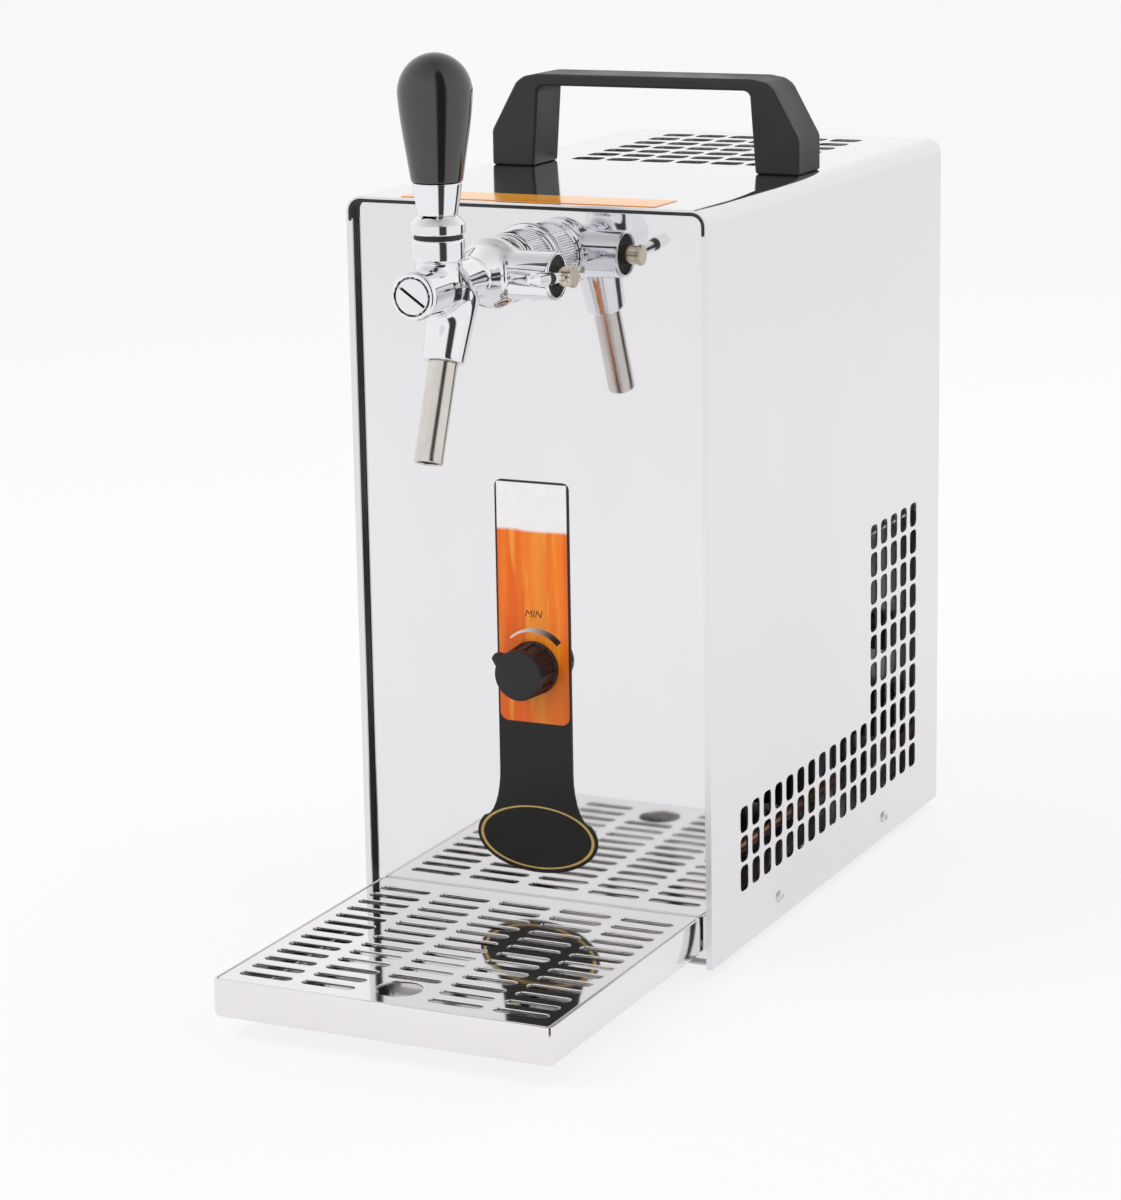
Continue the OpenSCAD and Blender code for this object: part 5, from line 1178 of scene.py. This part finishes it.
def spout_pipe():
    profile = [(SPOUT_BORE_R, SPOUT_IN), (SPOUT_BORE_R, -SPOUT_LEN + 0.6)]
    profile += arc(SPOUT_BORE_R + SPOUT_LIP, -SPOUT_LEN + SPOUT_LIP, SPOUT_LIP, 180, 270, 3)
    profile += arc(SPOUT_R - SPOUT_LIP, -SPOUT_LEN + SPOUT_LIP, SPOUT_LIP, 270, 360, 4)
    profile += [(SPOUT_R, z) for z in np.linspace(-SPOUT_LEN + 3, -0.3, 9)]
    profile += [(SPOUT_R - 0.3, -0.05), (SPOUT_R - 0.3, SPOUT_IN), (SPOUT_BORE_R, SPOUT_IN)]
    mouth = Matrix.Translation((0, LEVER_Y + SPOUT_MOUTH[1], TAP_Z + SPOUT_MOUTH[2]))
    place = mouth @ Matrix.Rotation(-SPOUT_TILT, 4, "X")
    piece("spout_pipe", lathe(profile), place, "tap_spout", smooth_angle=50)


# Stage, lamps and world. The studio's dark part lies to the right of straight ahead, in degrees
FLOOR_REACH = 9.0
FLOOR_GAP = 0.0002
DARK_FROM = 31
DARK_TO = 63
DARK_EDGE = 4
DARK_LOW, DARK_HIGH, DARK_RISE_EDGE = -15, 62, 12
DARK_LEVEL = 0.05
DARK_FLOOR_REACH = (0.25, 0.6)
GLOW_SHARE = 0.78
WORLD_LEVEL = 0.9
SKY_FADE_FROM = 25
SKY_FADE = 0.55
# Name, place in millimetres, width in metres and power in watts
LAMPS = (("key", (-900, -900, 1500), 1.0, 9), ("back", (500, 1500, 1300), 1.2, 5))
LAMP_AIM = (0, 100, 180)


def dark_floor(made, glossy):
    """1 on the floor's part that metal shows as dark, and 0 elsewhere."""
    centre = at(0, LEVER_Y, 0)
    side, depth, _ = made.split(made.place)
    x = made.minus(side, centre.x)
    ahead = made.minus(centre.y, depth)
    azimuth = made.math("DEGREES", made.math("ARCTAN2", x, ahead))
    dark = made.times(made.ramp(azimuth, DARK_FROM - DARK_EDGE, DARK_FROM + DARK_EDGE),
                      made.ramp(azimuth, DARK_TO - DARK_EDGE, DARK_TO + DARK_EDGE, 1.0, 0.0))
    dark = made.times(dark, made.ramp(made.hypot(x, ahead), *DARK_FLOOR_REACH))
    return made.times(dark, glossy)


def floor_paint():
    """Pale paint that glows to the camera and in gloss, and so shows white but for its shadow."""
    made = Shader("floor")
    made.set(Base_Color=made.mix(made.noise(3.0), (0.86, 0.86, 0.87), (0.88, 0.88, 0.885)), Roughness=0.9)
    path = made.add("ShaderNodeLightPath").outputs
    mirrored_ray = made.math("MAXIMUM", path["Is Glossy Ray"], path["Is Transmission Ray"])
    seen = made.math("MAXIMUM", path["Is Camera Ray"], mirrored_ray)
    dark = dark_floor(made, path["Is Glossy Ray"])
    glow = made.add("ShaderNodeEmission")
    fade = made.times(dark, 1 - DARK_LEVEL)
    made.feed(glow.inputs["Strength"], made.minus(1.0, fade))
    mixer = made.add("ShaderNodeMixShader")
    made.feed(mixer.inputs[0], made.math("MAXIMUM", made.times(seen, GLOW_SHARE), dark))
    made.feed(mixer.inputs[1], made.bsdf.outputs[0])
    made.feed(mixer.inputs[2], glow.outputs[0])
    output = next(n for n in made.tree.nodes if n.type == "OUTPUT_MATERIAL")
    made.feed(output.inputs["Surface"], mixer.outputs[0])
    return made.material


def stage():
    """A white floor that keeps a soft shadow."""
    mesh = bpy.data.meshes.new("floor")
    corners = [(x * FLOOR_REACH, y * FLOOR_REACH, 0) for x, y in ((-1, -1), (1, -1), (1, 1), (-1, 1))]
    mesh.from_pydata(corners, [], [(0, 1, 2, 3)])
    mesh.materials.append(floor_paint())
    floor = bpy.data.objects.new("floor", mesh)
    bpy.context.collection.objects.link(floor)
    floor.location.z = -FLOOR_GAP


def world():
    """A white studio with one dark side in front, which metal and gloss show."""
    sky = bpy.data.worlds.new("studio")
    bpy.context.scene.world = sky
    sky.use_nodes = True
    made = Nodes(sky.node_tree)

    def between(value, low, high, edge):
        rise = made.math("DIVIDE", made.minus(value, low - edge), 2 * edge, clamp=True)
        fall = made.math("DIVIDE", made.minus(high + edge, value), 2 * edge, clamp=True)
        return made.times(rise, fall)

    side, depth, up = made.split(made.add("ShaderNodeTexCoord").outputs["Generated"])
    azimuth = made.math("DEGREES", made.math("ARCTAN2", side, made.times(depth, -1)))
    height = made.math("DEGREES", made.math("ARCSINE", up))
    dark = made.times(between(azimuth, DARK_FROM, DARK_TO, DARK_EDGE),
                      between(height, DARK_LOW, DARK_HIGH, DARK_RISE_EDGE))
    studio = made.minus(WORLD_LEVEL, made.times(dark, WORLD_LEVEL - DARK_LEVEL))
    bright = made.times(1 - WORLD_LEVEL, made.minus(1, dark))
    high = made.math("DIVIDE", made.minus(height, SKY_FADE_FROM), 90 - SKY_FADE_FROM, clamp=True)
    mirror = made.minus(made.math("ADD", studio, bright), made.times(high, SKY_FADE))
    mirror = made.math("MAXIMUM", mirror, DARK_LEVEL)
    path = made.add("ShaderNodeLightPath").outputs
    glossy = path["Is Glossy Ray"]
    seen = made.math("MAXIMUM", path["Is Camera Ray"], path["Is Transmission Ray"])
    lit = made.math("ADD", made.times(glossy, mirror),
                    made.times(made.minus(1, glossy), studio))
    strength = made.math("ADD", made.times(lit, made.minus(1, seen)), seen)
    background = made.tree.nodes["Background"]
    background.inputs["Color"].default_value = (1, 1, 1, 1)
    made.feed(background.inputs["Strength"], strength)


def lamps():
    """A soft lamp from the upper left and a weaker one from behind."""
    for name, place, size, power in LAMPS:
        data = bpy.data.lights.new(name, "AREA")
        data.shape = "DISK"
        data.size = size
        data.energy = power
        lamp = bpy.data.objects.new(name, data)
        bpy.context.collection.objects.link(lamp)
        lamp.visible_glossy = False
        lamp.location = at(*place)
        lamp.rotation_euler = (at(*LAMP_AIM) - lamp.location).to_track_quat("-Z", "Y").to_euler()


make_camera()
dress_nodes()
tap_casting()
plug_disc()
pear_grip()
ferrule_sleeve()
collar_knurl()
spout_pipe()
handle_moulding()
tray_shell()
grate_plate()
panel_sheet()
gasket_lip()
knob_moulding()
scale_word()
case_screw_heads()
stage()
world()
lamps()
bpy.context.scene.view_settings.view_transform = "Standard"
